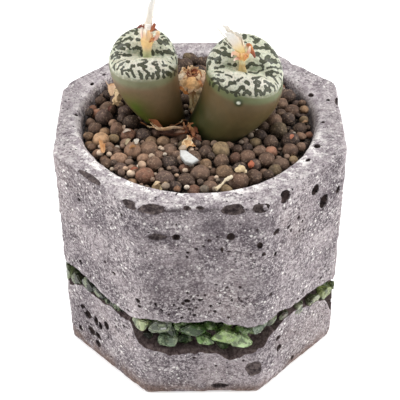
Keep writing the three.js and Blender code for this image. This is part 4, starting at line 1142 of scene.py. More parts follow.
# The dark marks that the picture shows, as strokes: half-width, then the two coordinates of each
# point in tenths of a pixel, from the corner of each head's frame.
MARK_CORNERS = {"left": (100, 15), "right": (195, 15)}
MARKS = {
    "left": [
        (5, 308, 153, 333, 159), (6, 358, 163, 360, 182, 369, 185), (3, 210, 204, 240, 196, 260, 180),
        (2, 260, 180, 286, 164), (4, 198, 236, 210, 246), (4, 208, 260, 228, 263, 244, 248),
        (5, 246, 243, 265, 237, 295, 228), (6, 293, 229, 313, 239), (4, 316, 240, 310, 254),
        (2, 195, 248, 170, 259, 158, 270), (3, 158, 272, 145, 290, 133, 306), (4, 184, 294, 234, 297),
        (1, 234, 297, 250, 295), (5, 252, 295, 280, 298, 291, 307), (5, 276, 312, 287, 318),
        (3, 222, 300, 219, 326), (4, 152, 323, 172, 326, 186, 337), (4, 188, 337, 210, 336),
        (6, 216, 332, 242, 335), (3, 132, 338, 148, 352), (4, 144, 375, 176, 375), (2, 176, 375, 214, 376),
        (2, 168, 394, 200, 391, 230, 398), (4, 234, 399, 256, 399), (3, 256, 400, 306, 402),
        (2, 108, 415, 128, 392, 144, 384), (2, 118, 426, 140, 412, 170, 404), (4, 170, 427, 194, 427),
        (6, 377, 243, 390, 246), (5, 366, 327, 398, 336), (4, 334, 338, 348, 338), (3, 296, 340, 310, 343),
        (5, 420, 358, 422, 396), (5, 408, 126, 443, 130), (3, 436, 205, 438, 226), (4, 573, 218, 572, 242),
        (5, 576, 248, 592, 268, 609, 278), (4, 600, 248, 620, 264, 615, 276),
        (4, 656, 164, 680, 175, 700, 181, 714, 194), (5, 689, 207, 700, 219, 725, 236, 748, 243),
        (3, 748, 243, 760, 260, 770, 285), (7, 683, 233, 692, 250), (2, 648, 297, 653, 300),
        (2, 602, 324, 605, 328), (4, 734, 334, 760, 346), (2, 770, 302, 769, 330, 761, 344),
        (6, 649, 364, 666, 374), (5, 688, 357, 700, 370), (4, 666, 377, 700, 380), (5, 712, 382, 739, 388),
        (3, 746, 376, 770, 396), (5, 522, 360, 533, 375, 529, 390), (5, 564, 363, 578, 368),
        (4, 584, 374, 606, 374, 625, 391), (3, 770, 370, 772, 410), (3, 757, 425, 765, 450, 766, 480),
        (3, 716, 423, 728, 438), (2, 424, 445, 460, 445), (4, 380, 500, 404, 498, 432, 480, 470, 465),
        (4, 404, 500, 428, 510, 460, 516), (4, 436, 514, 440, 535, 446, 545), (1, 532, 466, 568, 466),
        (3, 526, 482, 546, 494, 576, 495), (2, 629, 466, 636, 480), (3, 629, 504, 666, 503),
        (2, 680, 460, 700, 470, 716, 480), (6, 576, 526, 586, 544, 594, 554),
        (4, 699, 523, 720, 540, 742, 550), (3, 746, 552, 774, 574, 786, 590), (3, 390, 560, 404, 584),
        (5, 410, 592, 414, 633), (4, 462, 562, 480, 586, 475, 606), (5, 472, 606, 467, 634),
        (3, 474, 606, 530, 610), (5, 534, 594, 528, 630), (3, 556, 568, 566, 596),
        (5, 576, 580, 586, 608, 580, 638), (4, 626, 554, 634, 580, 636, 610, 640, 628),
        (5, 666, 566, 690, 576, 710, 590, 714, 610), (5, 669, 582, 690, 594), (5, 745, 588, 749, 598),
        (3, 210, 553, 233, 557, 280, 553, 307, 550), (4, 213, 570, 220, 590),
        (3, 260, 577, 270, 593, 287, 620), (4, 313, 553, 320, 577, 330, 590, 347, 623),
        (4, 318, 507, 336, 507), (3, 310, 537, 307, 550), (4, 385, 498, 396, 498), (4, 268, 463, 288, 463),
        (3, 233, 477, 223, 487, 200, 500, 190, 510, 180, 530, 170, 543), (3, 143, 507, 143, 547),
        (3, 237, 523, 220, 533, 207, 545), (2, 108, 440, 140, 410, 167, 403),
        (2, 200, 423, 167, 427, 147, 440, 137, 457, 120, 480, 113, 490),
        (2, 250, 443, 227, 450, 197, 463, 180, 470, 160, 480, 143, 500, 127, 523),
    ],
    "right": [
        (4, 206, 238, 226, 233, 249, 220), (6, 260, 252, 258, 276), (3, 266, 244, 283, 252),
        (6, 170, 269, 186, 278, 220, 272), (3, 160, 270, 140, 300, 125, 336), (2, 116, 350, 116, 400),
        (3, 120, 367, 138, 394), (2, 120, 406, 146, 394), (2, 316, 265, 314, 282, 300, 300),
        (6, 342, 292, 362, 290), (6, 344, 313, 360, 322, 371, 312), (1, 394, 323, 397, 327),
        (5, 188, 350, 215, 357, 243, 376, 273, 386, 295, 400), (3, 216, 352, 244, 364, 266, 378),
        (5, 278, 375, 300, 368, 314, 385, 305, 396), (5, 326, 396, 350, 391, 373, 394),
        (6, 342, 402, 360, 410), (5, 210, 442, 238, 430, 250, 445, 245, 472), (4, 210, 477, 243, 476),
        (3, 204, 450, 210, 478), (4, 130, 422, 160, 432, 180, 441, 210, 442), (4, 112, 440, 122, 455),
        (5, 130, 477, 152, 471, 146, 490), (5, 122, 495, 122, 534), (4, 330, 490, 354, 496),
        (5, 386, 502, 406, 496), (5, 260, 518, 280, 518), (4, 202, 524, 224, 526),
        (5, 499, 212, 494, 224, 481, 232), (2, 473, 196, 480, 204), (3, 486, 269, 510, 274),
        (4, 558, 213, 579, 217), (4, 600, 226, 620, 238, 644, 238), (5, 610, 238, 613, 260),
        (7, 600, 269, 613, 264), (3, 704, 282, 730, 298, 744, 305), (6, 550, 347, 568, 357),
        (5, 568, 357, 580, 337, 600, 322), (8, 606, 318, 622, 325),
        (5, 625, 330, 660, 333, 683, 319, 750, 327), (5, 598, 386, 615, 380, 642, 388),
        (4, 606, 398, 636, 400), (1, 645, 412, 655, 430), (4, 754, 342, 770, 350, 792, 354, 800, 366),
        (4, 766, 376, 785, 383, 810, 393, 830, 410, 839, 424), (6, 713, 432, 726, 422, 744, 416),
        (4, 746, 418, 744, 436), (6, 664, 460, 680, 470), (5, 680, 470, 705, 456, 730, 442),
        (5, 748, 454, 770, 460, 796, 450, 810, 454, 826, 469), (3, 826, 469, 850, 486, 865, 500),
        (2, 834, 453, 852, 475), (5, 548, 494, 562, 484, 580, 494), (3, 590, 503, 664, 503, 685, 518),
        (5, 524, 506, 516, 530), (4, 725, 532, 750, 527, 780, 522, 810, 526),
        (3, 810, 526, 830, 535, 865, 536), (4, 715, 575, 740, 570, 770, 563, 800, 568),
        (3, 800, 568, 830, 580, 860, 592, 870, 600), (3, 714, 603, 745, 605, 770, 606),
        (3, 770, 606, 790, 630, 810, 655, 824, 680), (1, 790, 608, 820, 612, 850, 630, 864, 650, 864, 680),
        (3, 804, 685, 820, 700, 827, 726), (1, 826, 680, 840, 690, 850, 710),
        (4, 696, 666, 712, 663, 730, 680, 760, 690, 790, 715, 800, 740, 800, 754), (3, 741, 690, 744, 724),
        (5, 703, 710, 710, 733, 736, 738, 755, 768), (4, 712, 740, 698, 768, 692, 790),
        (5, 716, 736, 726, 750), (4, 500, 568, 512, 580),
        (3, 540, 575, 580, 576, 610, 580, 630, 574, 650, 560, 680, 548),
        (3, 574, 635, 600, 632, 640, 620, 665, 613), (4, 610, 635, 616, 660, 635, 670, 652, 677),
        (4, 595, 676, 610, 690, 635, 700, 634, 714), (5, 606, 706, 605, 750, 612, 776, 614, 800),
        (5, 616, 754, 650, 760, 662, 796), (6, 514, 673, 532, 684), (5, 520, 758, 546, 784, 554, 800),
        (4, 518, 760, 492, 784, 487, 800), (2, 678, 616, 710, 632), (5, 146, 670, 144, 692),
        (4, 160, 642, 200, 639), (5, 224, 646, 253, 653, 278, 656),
        (4, 174, 714, 178, 696, 196, 681, 224, 674, 242, 692, 246, 710, 239, 739, 235, 753),
        (6, 274, 735, 289, 739),
        (4, 289, 739, 314, 724, 331, 710, 342, 692, 349, 681, 385, 681, 403, 689, 396, 664),
        (3, 420, 651, 439, 646, 474, 628), (5, 314, 753, 324, 774),
        (4, 364, 774, 389, 774, 414, 770, 431, 760, 449, 742, 460, 724, 478, 714, 489, 724, 492, 746),
        (4, 406, 792, 410, 810), (3, 442, 785, 446, 803), (4, 124, 515, 124, 540),
        (3, 196, 565, 246, 565, 260, 578, 278, 576), (2, 206, 598, 242, 596),
        (2, 303, 596, 330, 600, 367, 620),
    ],
}
# The translucent windows beside each fissure, in the same way
WINDOWS = {
    "left": [
        (7, 290, 362, 360, 366, 420, 378), (7, 545, 388, 580, 396, 622, 408), (5, 620, 384, 680, 384),
        (4, 396, 374, 390, 410),
    ],
    "right": [
        (8, 312, 512, 350, 522, 384, 556), (9, 585, 525, 630, 540, 670, 533), (5, 250, 520, 290, 530),
        (6, 222, 453, 228, 463), (7, 545, 500, 570, 540),
    ],
}
# Millimetres in one unit of a stroke's half-width
MARK_SHARE = 0.071


def camera_axes():
    back = np.array([
        math.sin(CAMERA_TURN) * math.cos(CAMERA_RISE),
        -math.cos(CAMERA_TURN) * math.cos(CAMERA_RISE),
        math.sin(CAMERA_RISE),
    ])
    right = np.cross(-back, (0, 0, 1))
    right /= np.linalg.norm(right)
    up = np.cross(right, -back)
    rolled_right = math.cos(CAMERA_ROLL) * right + math.sin(CAMERA_ROLL) * up
    rolled_up = -math.sin(CAMERA_ROLL) * right + math.cos(CAMERA_ROLL) * up
    return rolled_right, rolled_up, back


def camera_ray(pixel_x, pixel_y):
    """Where the camera stands and the way that it looks through a pixel."""
    right, up, back = camera_axes()
    half = PICTURE / 2
    ray = -back * FOCAL_PIXELS + right * (pixel_x - half) - up * (pixel_y - half)
    return CAMERA_TARGET + back * CAMERA_DISTANCE, ray


def seen_at(tree, pixel_x, pixel_y):
    """The point of a surface that the camera sees at a pixel, or nothing."""
    start, ray = camera_ray(pixel_x, pixel_y)
    hit = tree.ray_cast(Vector(start), Vector(ray / np.linalg.norm(ray)))
    return None if hit[0] is None else np.array(hit[0])


def seen_on_plane(pixel_x, pixel_y, point, normal):
    """Where the camera's ray through a pixel meets a plane."""
    start, ray = camera_ray(pixel_x, pixel_y)
    share = np.dot(np.asarray(point, float) - start, normal) / np.dot(ray, normal)
    return start + share * ray


def at_height(pixel_x, pixel_y, z):
    return seen_on_plane(pixel_x, pixel_y, (0, 0, z), (0, 0, 1))


def at_heights(spots):
    """Places from a list of pixels and heights."""
    return [at_height(*spot) for spot in spots]


def drawn_strokes(tree, side, strokes):
    """Strokes of the picture laid on a surface."""
    corner = MARK_CORNERS[side]
    laid = []
    for half_width, *points in strokes:
        pairs = zip(points[::2], points[1::2])
        spots = [seen_at(tree, corner[0] + px / 10, corner[1] + py / 10) for px, py in pairs]
        spots = [spot for spot in spots if spot is not None]
        if len(spots) > 1:
            laid.append((MARK_SHARE * half_width, np.array(spots)))
    return laid


def back_strokes(head, seed):
    """Marks on the side that the picture doesn't show: dashes down the rim and worms above them."""
    draw = stream(seed)
    strokes = []
    turn = 8.0
    while turn < 172:
        angle = math.radians(turn)
        inner = mix(0.86, 0.94, draw())
        wander = math.radians(5) * (draw() - 0.5)
        points = face_points(head, np.array([angle, angle + wander]), np.array([inner, 0.995]))
        strokes.append((mix(0.2, 0.36, draw()), points))
        if draw() < 0.75:
            start = mix(0.6, 0.75, draw())
            bend = math.radians(9) * (draw() - 0.5)
            turns = np.array([angle, angle + bend, angle + 0.4 * bend])
            points = face_points(head, turns, np.array([start, start + 0.06, start + 0.13]))
            strokes.append((mix(0.2, 0.34, draw()), points))
        turn += mix(8, 12, draw())
    return strokes


def stroke_distance(places, strokes):
    """How far each place is outside the nearest stroke, in millimetres, and less than 0 inside."""
    nearest = np.full(len(places), 9.0)
    for half_width, points in strokes:
        for start, end in zip(points, points[1:]):
            run = end - start
            share = np.clip((places - start) @ run / max(run @ run, 1e-9), 0, 1)
            gap = np.linalg.norm(places - start - share[:, None] * run, axis=1) - half_width
            nearest = np.minimum(nearest, gap)
    return nearest


# The skin's colours, with the angle and the reach of the green glow in degrees, and where up the
# body the glow fades.
HEAD_LOOKS = {
    "left": dict(
        glow=(247, 24), fade=(0.45, 0.85), top=(200, 203, 178), under=(126, 127, 94), middle=(128, 106, 78),
        low=(90, 74, 38), green=(94, 116, 38), back_seed=61,
    ),
    "right": dict(
        glow=(208, 42), fade=(0.3, 0.7), top=(201, 205, 180), under=(114, 120, 80), middle=(106, 88, 56),
        low=(88, 76, 38), green=(34, 58, 22), back_seed=67,
    ),
}
GREEN_SHARE = 0.85


def head_colours(side, places, shares, angles, tree):
    """The skin's colour from the foot to the fissure."""
    looks = HEAD_LOOKS[side]
    turn = np.degrees(angles)
    rise = np.clip(shares, 0, 1)[:, None]
    body = mix(linear(*looks["low"]), linear(*looks["middle"]), step_between(0.05, 0.7, rise))
    body = mix(body, linear(*looks["under"]), step_between(0.8, 0.93, rise))
    fade = 1 - step_between(*looks["fade"], rise)
    blotch = 1 + 0.5 * noise(places, 3.2, 21)[:, None]
    green = GREEN_SHARE * bell(turn, *looks["glow"])[:, None] * fade * blotch
    body = mix(body, linear(*looks["green"]), np.clip(green, 0, 1))
    if side == "right":
        body = mix(body, linear(122, 112, 76), 0.5 * bell(turn, 300, 45)[:, None] * fade)
        seam = step_between(0.83, 0.9, rise) * (1 - step_between(0.93, 1, rise))
        body = mix(body, linear(94, 108, 66), 0.35 * seam)
    # Painted shade: the body darkens towards its foot at the soil
    body = mix(body, linear(40, 46, 26), 0.75 * (1 - step_between(0.0, 0.22, rise)))
    face = np.tile(linear(*looks["top"]), (len(places), 1))
    warm = step_between(-0.3, 0.6, noise(places, 4.5, 22))[:, None]
    face = mix(face, linear(222, 216, 200), 0.5 * warm)
    # Painted highlight: the face is paler along the front ridge
    front_ridge_highlight = bell(shares, 1.32, 0.24) * bell(turn, 268, 62)
    face = mix(face, linear(232, 223, 211), (0.75 * front_ridge_highlight)[:, None])
    colours = mix(body, face, step_between(0.965, 1.05, shares)[:, None])
    windows = stroke_distance(places, drawn_strokes(tree, side, WINDOWS[side]))
    colours = mix(colours, linear(122, 136, 108), 0.7 * (1 - step_between(-0.25, 0.25, windows))[:, None])
    return mix(colours, linear(96, 110, 66), 0.8 * bell(shares, 2, 0.05)[:, None])


# The pale papilla below the right head's rim
PAPILLA_PIXEL = (238.5, 103.0)
PAPILLA_HEIGHT = 0.35


def make_head(side, material):
    head = HEADS[side]
    rings, shares, angles = head_rings(head)
    vertices, faces = ring_solid(rings)
    piece = new_piece(f"head_{side}_skin", vertices, faces, material)
    tree = BVHTree.FromPolygons([Vector(v) for v in vertices], faces)
    strokes = drawn_strokes(tree, side, MARKS[side]) + back_strokes(head, HEAD_LOOKS[side]["back_seed"])
    marks = stroke_distance(vertices, strokes)
    colours = head_colours(side, vertices, shares, angles, tree)
    if side == "right":
        far = np.linalg.norm(vertices - seen_at(tree, *PAPILLA_PIXEL), axis=1)
        colours = mix(colours, linear(40, 58, 22), 0.9 * bell(far, 0, 1.15, 5)[:, None])
        colours = mix(colours, linear(236, 240, 222), bell(far, 0, 0.47, 6)[:, None])
        marks = np.where(far < 1.3, 9, marks)
        vertices = vertices + PAPILLA_HEIGHT * bell(far, 0, 0.5)[:, None] * normals_of(piece)
    skin = 0.05 * noise(vertices, 2.2, 24) - 0.05
    put_places(piece, vertices + skin[:, None] * normals_of(piece))
    put(piece, "mark", marks)
    put(piece, "face", step_between(0.985, 1.0, shares))
    put(piece, "tint", colours)
    hand_over(piece, f"head_{side}")


# Grains
def bed_height(x, y):
    crown = BED_CROWN * (1 - (x * x + y * y) / SOIL_LINE_RADIUS**2)
    return BED_EDGE + crown - BED_FALL_RIGHT * x + BED_RISE_BACK * y


STALK_FOOT = (-1.4, 7.0)
STALK_RADIUS = 0.8
# Where the sheath starts and ends round the left head, in degrees
SHEATH_FROM = 214
SHEATH_TO = 338


def blocked(x, y, radius):
    """Whether a grain there would press into a head, the stalk or the sheath."""
    top = bed_height(x, y) + radius * (GRAIN_RISE + 0.6)
    for head in HEADS.values():
        share = head_share(head, top)
        head_x, head_y = head_centre(head, share)
        if math.hypot(x - head_x, y - head_y) < head_radius(head, share) + 0.92 * radius:
            return True
    if math.hypot(x - STALK_FOOT[0], y - STALK_FOOT[1]) < STALK_RADIUS + radius:
        return True
    left = HEADS["left"]
    sheath_x, sheath_y = x - left["base"][0], y - left["base"][1]
    turn = math.degrees(math.atan2(sheath_y, sheath_x)) + 360
    beside = SHEATH_FROM < turn < SHEATH_TO
    return beside and math.hypot(sheath_x, sheath_y) < left["base_radius"] + 1.5 + 0.8 * radius


def bed_place(angle, distance):
    return MOUTH_X + distance * math.cos(angle), distance * math.sin(angle)


def placed_grains():
    """The grains that the frame's bed has, one by one in the same order."""
    draw = stream(GRAIN_SEED)
    placed = []
    for smallest, biggest, tries in GRAIN_SIZES:
        for _ in range(tries):
            radius = mix(smallest, biggest, draw())
            angle = 2 * math.pi * draw()
            x, y = bed_place(angle, (SOIL_LINE_RADIUS - GRAIN_WALL_GAP - radius) * math.sqrt(draw()))
            lift = GRAIN_LIFT * draw()
            if blocked(x, y, radius):
                continue
            close = any(math.hypot(x - g[0], y - g[1]) < GRAIN_CLOSENESS * (radius + g[3]) for g in placed)
            if not close:
                placed.append((x, y, bed_height(x, y) + GRAIN_RISE * radius + lift, radius))
    return placed


def resting_height(known, x, y, radius, closeness, rise):
    """How high a grain's middle lies on the others, or on the bed."""
    known = np.array(known)
    gap = np.hypot(known[:, 0] - x, known[:, 1] - y)
    touch = closeness * (known[:, 3] + radius)
    over = gap < touch
    on_bed = bed_height(x, y) + rise * radius
    return max([on_bed, *(known[over, 2] + np.sqrt(touch[over] ** 2 - gap[over] ** 2))])


# Grains on top of the others, against the pot's wall at the left and right. They keep off the back
# and the middle.
WALL_GRAIN_SEED = 79
WALL_GRAIN_TRIES = 900
WALL_GRAIN_RADIUS = 28.5
WALL_GRAIN_BACK = 22
WALL_GRAIN_MIDDLE = 15
WALL_PILE = 2.6


def wall_grains(placed):
    draw = stream(WALL_GRAIN_SEED)
    piled = []
    for _ in range(WALL_GRAIN_TRIES):
        radius = mix(1.0, 2.0, draw())
        angle = 2 * math.pi * draw()
        x, y = bed_place(angle, WALL_GRAIN_RADIUS - radius - 1.2 * draw() ** 2)
        if y > WALL_GRAIN_BACK or abs(x) < WALL_GRAIN_MIDDLE:
            continue
        z = resting_height(placed + piled, x, y, radius, 0.86, 0.4)
        if z <= bed_height(x, y) + WALL_PILE - 0.5 * radius:
            piled.append((x, y, z, radius))
    return piled


# Small grains that lie in the gaps between the others, the coarser ones first. There are half as many
# behind a line, and at the front left they are piled higher.
SMALL_GRAIN_SEED = 77
SMALL_GRAIN_TRIES = 6200
COARSE_SHARE = 0.4
SPARSE_BEHIND = -8
SMALL_PILE = 1.5
FRONT_LEFT_PILE = 2.2


def settled_grains(placed):
    draw = stream(SMALL_GRAIN_SEED)
    small = []
    for attempt in range(SMALL_GRAIN_TRIES):
        sizes = (0.95, 1.35) if attempt < SMALL_GRAIN_TRIES * COARSE_SHARE else (0.5, 0.95)
        radius = mix(*sizes, draw())
        angle = 2 * math.pi * draw()
        x, y = bed_place(angle, (SOIL_LINE_RADIUS - 0.1 - radius) * math.sqrt(draw()))
        if blocked(x, y, 0.8 * radius) or (y > SPARSE_BEHIND and attempt % 2):
            continue
        z = resting_height(placed + small, x, y, radius, 0.9, 0.45)
        pile = FRONT_LEFT_PILE if y < -10 and x < 6 else SMALL_PILE
        if z <= bed_height(x, y) + pile:
            small.append((x, y, z, radius))
    return small


# Colours of the grains and how often each one comes
GRAIN_COLOURS = [
    ((114, 89, 73), 5), ((130, 101, 81), 5), ((152, 120, 90), 2), ((100, 75, 60), 4), ((142, 120, 88), 2),
    ((88, 69, 61), 4), ((148, 104, 82), 2),
]
SMALL_COLOURS = [
    ((132, 108, 92), 4), ((162, 136, 114), 3), ((190, 168, 146), 3), ((100, 79, 67), 4), ((220, 206, 188), 3),
    ((174, 126, 92), 1), ((158, 142, 124), 2),
]


def chosen(options, value):
    """An option picked by its weight, for a value from 0 to 1."""
    total = sum(weight for _, weight in options)
    for option, weight in options:
        value -= weight / total
        if value <= 0:
            return option
    return options[-1][0]


def grain_part(grains, level, palette, seed):
    """Vertices, faces and colours of uneven grains."""
    unit, faces = ball(level)
    draw = stream(seed)
    parts, tints = [], []
    for number, (x, y, z, radius) in enumerate(grains):
        squash = np.array([1, mix(0.86, 1, draw()), mix(0.8, 0.98, draw())])
        turn = rotation("X", math.pi * draw()) @ rotation("Z", math.pi * draw())
        uneven = 1 + 0.1 * noise(unit * 1.1 + number * 5.3, 1.0, 31)
        uneven += 0.05 * noise(unit * 2.6 + number, 1.0, 32)
        turned = (unit * uneven[:, None] * squash * radius) @ turn.T
        parts.append((turned + (x, y, z), faces))
        # Painted shade on each grain's underside, and painted light by place: paler towards the front and the
        # left, darker behind
        under = mix(0.13, 1.08, step_between(-0.55, 0.7, turned[:, 2] / radius))
        light = mix(1.05, 0.78, step_between(-18, 4, y)) * mix(1.35, 1, step_between(-22, -8, x))
        tint = shown(chosen(palette, draw())) * mix(0.4, 1.55, draw()) * light
        tints.append(under[:, None] * tint)
    return *joined(parts), np.concatenate(tints)


BED_SIDES = 160
# Painted shade: the near-black colour that shows in the gaps between the grains
BED_SHADE = linear(30, 22, 18)


def bed_part():
    """The bed under the grains, down to the pot's floor, painted near black as the shade in the gaps between
    them.
    """
    rings = []
    for radius, z in ((FLOOR_RADIUS, FLOOR_THICKNESS + CLEARANCE), (WALL_FOOT_RADIUS, FLOOR_THICKNESS + 1.5)):
        rings.append(circle(radius - CLEARANCE, z, BED_SIDES) + (MOUTH_X, 0, 0))
    for share in (1, 0.97, 0.92, 0.85, 0.75, 0.65, 0.55, 0.45, 0.35, 0.25, 0.15, 0.05):
        ring = circle(share * (SOIL_LINE_RADIUS - CLEARANCE), 0, BED_SIDES) + (MOUTH_X, 0, 0)
        ring[:, 2] = bed_height(ring[:, 0], ring[:, 1])
        ring[:, 2] += 0.35 * noise(ring, 1.6, 33) - 0.2
        rings.append(ring)
    vertices, faces = ring_solid(rings)
    return vertices, faces, np.tile(BED_SHADE, (len(vertices), 1))


# More grains between the heads and the back rim: place and radius
BACK_GRAINS = [
    (-2.0, 25.0, 62.3, 2.4), (-6.0, 24.2, 61.7, 2.1), (2.4, 24.6, 61.8, 2.2), (-4.3, 21.4, 61.7, 2.2),
    (0.3, 21.2, 61.6, 2.1), (0.6, 22.9, 63.4, 1.6), (-3.4, 21.5, 63.6, 1.9), (-0.4, 19.2, 62.9, 1.9),
    (-3.2, 24.2, 64.1, 1.2),
]


# Grains above this radius are finer balls
BIG_GRAIN = 1.6


def make_grains(material):
    placed = placed_grains() + BACK_GRAINS
    placed += wall_grains(placed)
    big = [grain for grain in placed if grain[3] > BIG_GRAIN]
    middling = [grain for grain in placed if grain[3] <= BIG_GRAIN]
    small = settled_grains(placed)
    for name, node, parts in (
        ("bed_and_grains", "soil", [bed_part(), grain_part(big, 4, GRAIN_COLOURS, 35)]),
        ("small_grains", None, [
            grain_part(middling, 3, GRAIN_COLOURS, 36), grain_part(small, 2, SMALL_COLOURS, 37),
        ]),
    ):
        tinted_piece(name, parts, material, node, None)
    return placed


# Spent flowers
CREAM = (226, 222, 178)
PALE_GREEN = (196, 206, 146)
PEACH = (240, 200, 148)
ORANGE = (222, 150, 84)
BLUSH = (244, 196, 172)
RUST = (168, 84, 42)
DARK_RED = (112, 38, 24)
TISSUE = (250, 240, 224)
WHITE_TISSUE = (252, 250, 244)
# Tubes and blades: steps from the foot in the fissure, half-widths, colours and how they are shaped
FLOWER_LIMBS = {
    "left": [
        (tube, [(0, 0, -1.1), (0, 0, 0.4), (0, 0, 1.6), (0.1, 0, 3.4)], [0.9, 0.95, 0.95, 1.25],
         [PALE_GREEN, (186, 194, 146), (198, 192, 144), PEACH], dict(ridges=0.06)),
        (tube, [(0.1, 0, 3.0), (0.15, 0, 5.0), (0.3, 0.1, 7), (0.5, 0.1, 9.0)], [1.15, 1.4, 1.3, 1.0, 0.7],
         [(240, 204, 140), (246, 208, 140), PEACH, TISSUE, WHITE_TISSUE], dict(ridges=0.12, rough=0.12)),
        (blade, [(0.3, -0.3, 6.2), (0.7, 0, 9.5), (1.6, 0.5, 13.6), (2.6, 1.1, 18.3)],
         [0.75, 0.85, 0.75, 0.6, 0.3],
         [(250, 226, 180), TISSUE, WHITE_TISSUE, WHITE_TISSUE], dict(cup=0.3, twist=20)),
        (blade, [(0.5, 0.4, 6.5), (1.1, 0.8, 10.8), (2.3, 0.8, 15.3)], [0.6, 0.62, 0.5, 0.2],
         [PEACH, TISSUE, WHITE_TISSUE], dict(up=(0.4, 1, 0), cup=0.4, twist=-20)),
        (blade, [(0.2, 0.5, 7), (0.4, 0.9, 11), (1.1, 1.2, 13.8)], [0.5, 0.55, 0.35, 0.15],
         [TISSUE, WHITE_TISSUE, WHITE_TISSUE], dict(up=(1, 1, 0), cup=0.8)),
        (blade, [(-0.2, -0.4, 3.6), (-0.8, -0.6, 5.6), (-0.95, -0.3, 7.8), (-0.7, -0.1, 8.8)],
         [0.3, 0.5, 0.42, 0.2], [PEACH, BLUSH, TISSUE, TISSUE], dict(up=(0.3, 1, 0), cup=0.5)),
        (blade, [(0.3, -0.7, 3.9), (0.6, -1.1, 5.8), (0.5, -0.9, 7.6)], [0.4, 0.75, 0.3],
         [CREAM, PEACH, PEACH], dict(cup=0.7)),
        (blade, [(-0.1, -0.1, 7.4), (-0.8, -0.2, 8.3), (-1.7, -0.2, 8.0), (-2.0, -0.2, 7.8)],
         [0.45, 0.4, 0.32, 0.12], [RUST, DARK_RED, DARK_RED], dict(cup=0.9)),
        (blade, [(0.6, -0.3, 6.9), (1.4, -0.5, 7.5), (2.0, -0.4, 8.7), (2.3, -0.3, 9.0)],
         [0.5, 0.5, 0.4, 0.15], [ORANGE, RUST, DARK_RED], dict(cup=0.8)),
        (blade, [(1.0, -0.2, 6.9), (1.9, -0.1, 7.3), (2.6, 0.1, 7.0)], [0.35, 0.36, 0.12],
         [RUST, DARK_RED, DARK_RED], dict(cup=0.8)),
        (blade, [(0.6, -0.5, 4.4), (1.6, -0.8, 4.9), (2.6, -0.9, 6.0), (2.7, -0.9, 7.0), (2.0, -0.9, 7.2)],
         [0.4, 0.5, 0.46, 0.4, 0.15], [ORANGE, BLUSH, BLUSH, PEACH, TISSUE], dict(cup=0.6)),
        (blade, [(0.7, -0.9, 4.5), (1.3, -1.3, 5.2), (1.9, -1.3, 5.9)], [0.3, 0.42, 0.15],
         [RUST, ORANGE, RUST], dict(cup=0.6)),
        (blade, [(0.1, 0.7, 6.2), (-0.4, 1.7, 7.5), (-0.7, 2.4, 6.9)], [0.5, 0.5, 0.2],
         [ORANGE, RUST, DARK_RED], dict(up=(1, 0, 0.2))),
    ],
    "right": [
        (tube, [(0, 0, -1.1), (0, -0.1, 0.3), (0, 0, 1.6), (0.05, 0, 3.2)], [1.1, 1.0, 0.66, 0.72],
         [PALE_GREEN, (196, 174, 118), (204, 172, 112), CREAM], dict(ridges=0.1)),
        (tube, [(0.05, 0, 2.8), (0.1, 0, 4.2), (0.1, 0, 5.2)], [0.7, 1.2, 1.3, 0.9],
         [CREAM, (240, 184, 104), (240, 190, 112), PEACH], dict(ridges=0.14, rough=0.12)),
        (blade, [(0, -0.5, 3.8), (-0.6, -0.4, 5.8), (-1.8, 0, 7.7), (-3.0, 0.4, 9.1), (-4.0, 0.7, 9.8)],
         [0.8, 1.1, 1.2, 1.0, 0.3],
         [(246, 196, 112), (254, 226, 152), TISSUE, WHITE_TISSUE, WHITE_TISSUE], dict(cup=0.2)),
        (blade, [(-0.2, 0.3, 4.6), (-1.4, 0.8, 7.4), (-3.3, 1.1, 10.4), (-4.7, 1.2, 11.4)],
         [0.6, 0.8, 0.55, 0.2], [PEACH, TISSUE, WHITE_TISSUE], dict(cup=0.3, ragged=0.5)),
        (blade, [(0.2, 0.6, 4.6), (-0.5, 1.2, 7.6), (-1.7, 1.6, 9.6)], [0.6, 0.75, 0.55, 0.2],
         [PEACH, TISSUE, WHITE_TISSUE], dict(cup=0.3, ragged=0.4)),
        (blade, [(0.6, -0.3, 4.3), (1.0, -0.3, 5.9), (1.3, -0.3, 7.0), (1.7, -0.4, 6.7),
         (2.3, -0.6, 5.3), (2.9, -0.7, 4.0)], [0.55, 0.5, 0.55, 0.5, 0.45, 0.2],
         [PEACH, CREAM, RUST, ORANGE, RUST, DARK_RED], dict(cup=0.5, steps=40)),
        (blade, [(0.9, -0.3, 4.2), (1.5, -0.5, 5.6), (1.7, -0.6, 7.0)], [0.4, 0.5, 0.15],
         [PEACH, BLUSH, TISSUE], dict(cup=0.5)),
        (blade, [(-0.4, -0.6, 3.9), (-1.3, -0.9, 5.0), (-2.2, -0.9, 5.2), (-2.5, -0.9, 4.4)],
         [0.45, 0.5, 0.42, 0.15], [ORANGE, PEACH, BLUSH, TISSUE], dict(cup=0.8)),
        (blade, [(-0.5, -0.7, 3.6), (-1.4, -1.1, 3.9), (-2.0, -1.1, 3.4)], [0.4, 0.4, 0.15],
         [ORANGE, BLUSH, TISSUE], dict(cup=0.8)),
        (blade, [(0.2, -0.9, 3.8), (0.7, -1.4, 4.9), (1.2, -1.6, 5.0)], [0.5, 0.55, 0.2],
         [ORANGE, ORANGE, RUST], dict(up=(1, 0, 0.2), cup=0.6)),
        (blade, [(-0.2, 0.8, 4.0), (-0.7, 1.7, 4.9), (-0.9, 2.1, 4.1)], [0.5, 0.5, 0.2],
         [ORANGE, BLUSH, RUST], dict(up=(1, 0, 0.2))),
    ],
}
FLOWER_SEEDS = {"left": 101, "right": 141}
LEFT_WISPS = 7
LEFT_WISP_SEED = 127
# Where the wisps of the right flower end
RIGHT_WISP_TIPS = [
    (-7.0, 1.0, 12.4), (-5.4, 1.6, 12.8), (-3.4, 1.2, 12.4), (-6.2, 1.0, 11.6), (-5.0, 0.8, 11.2),
    (-4.6, 1.3, 11.9), (-2.4, 1.4, 10.6), (-5.9, 0.4, 10.4), (-0.9, 1.5, 11.1),
]


def from_foot(foot, steps):
    return [np.add(foot, step) for step in steps]


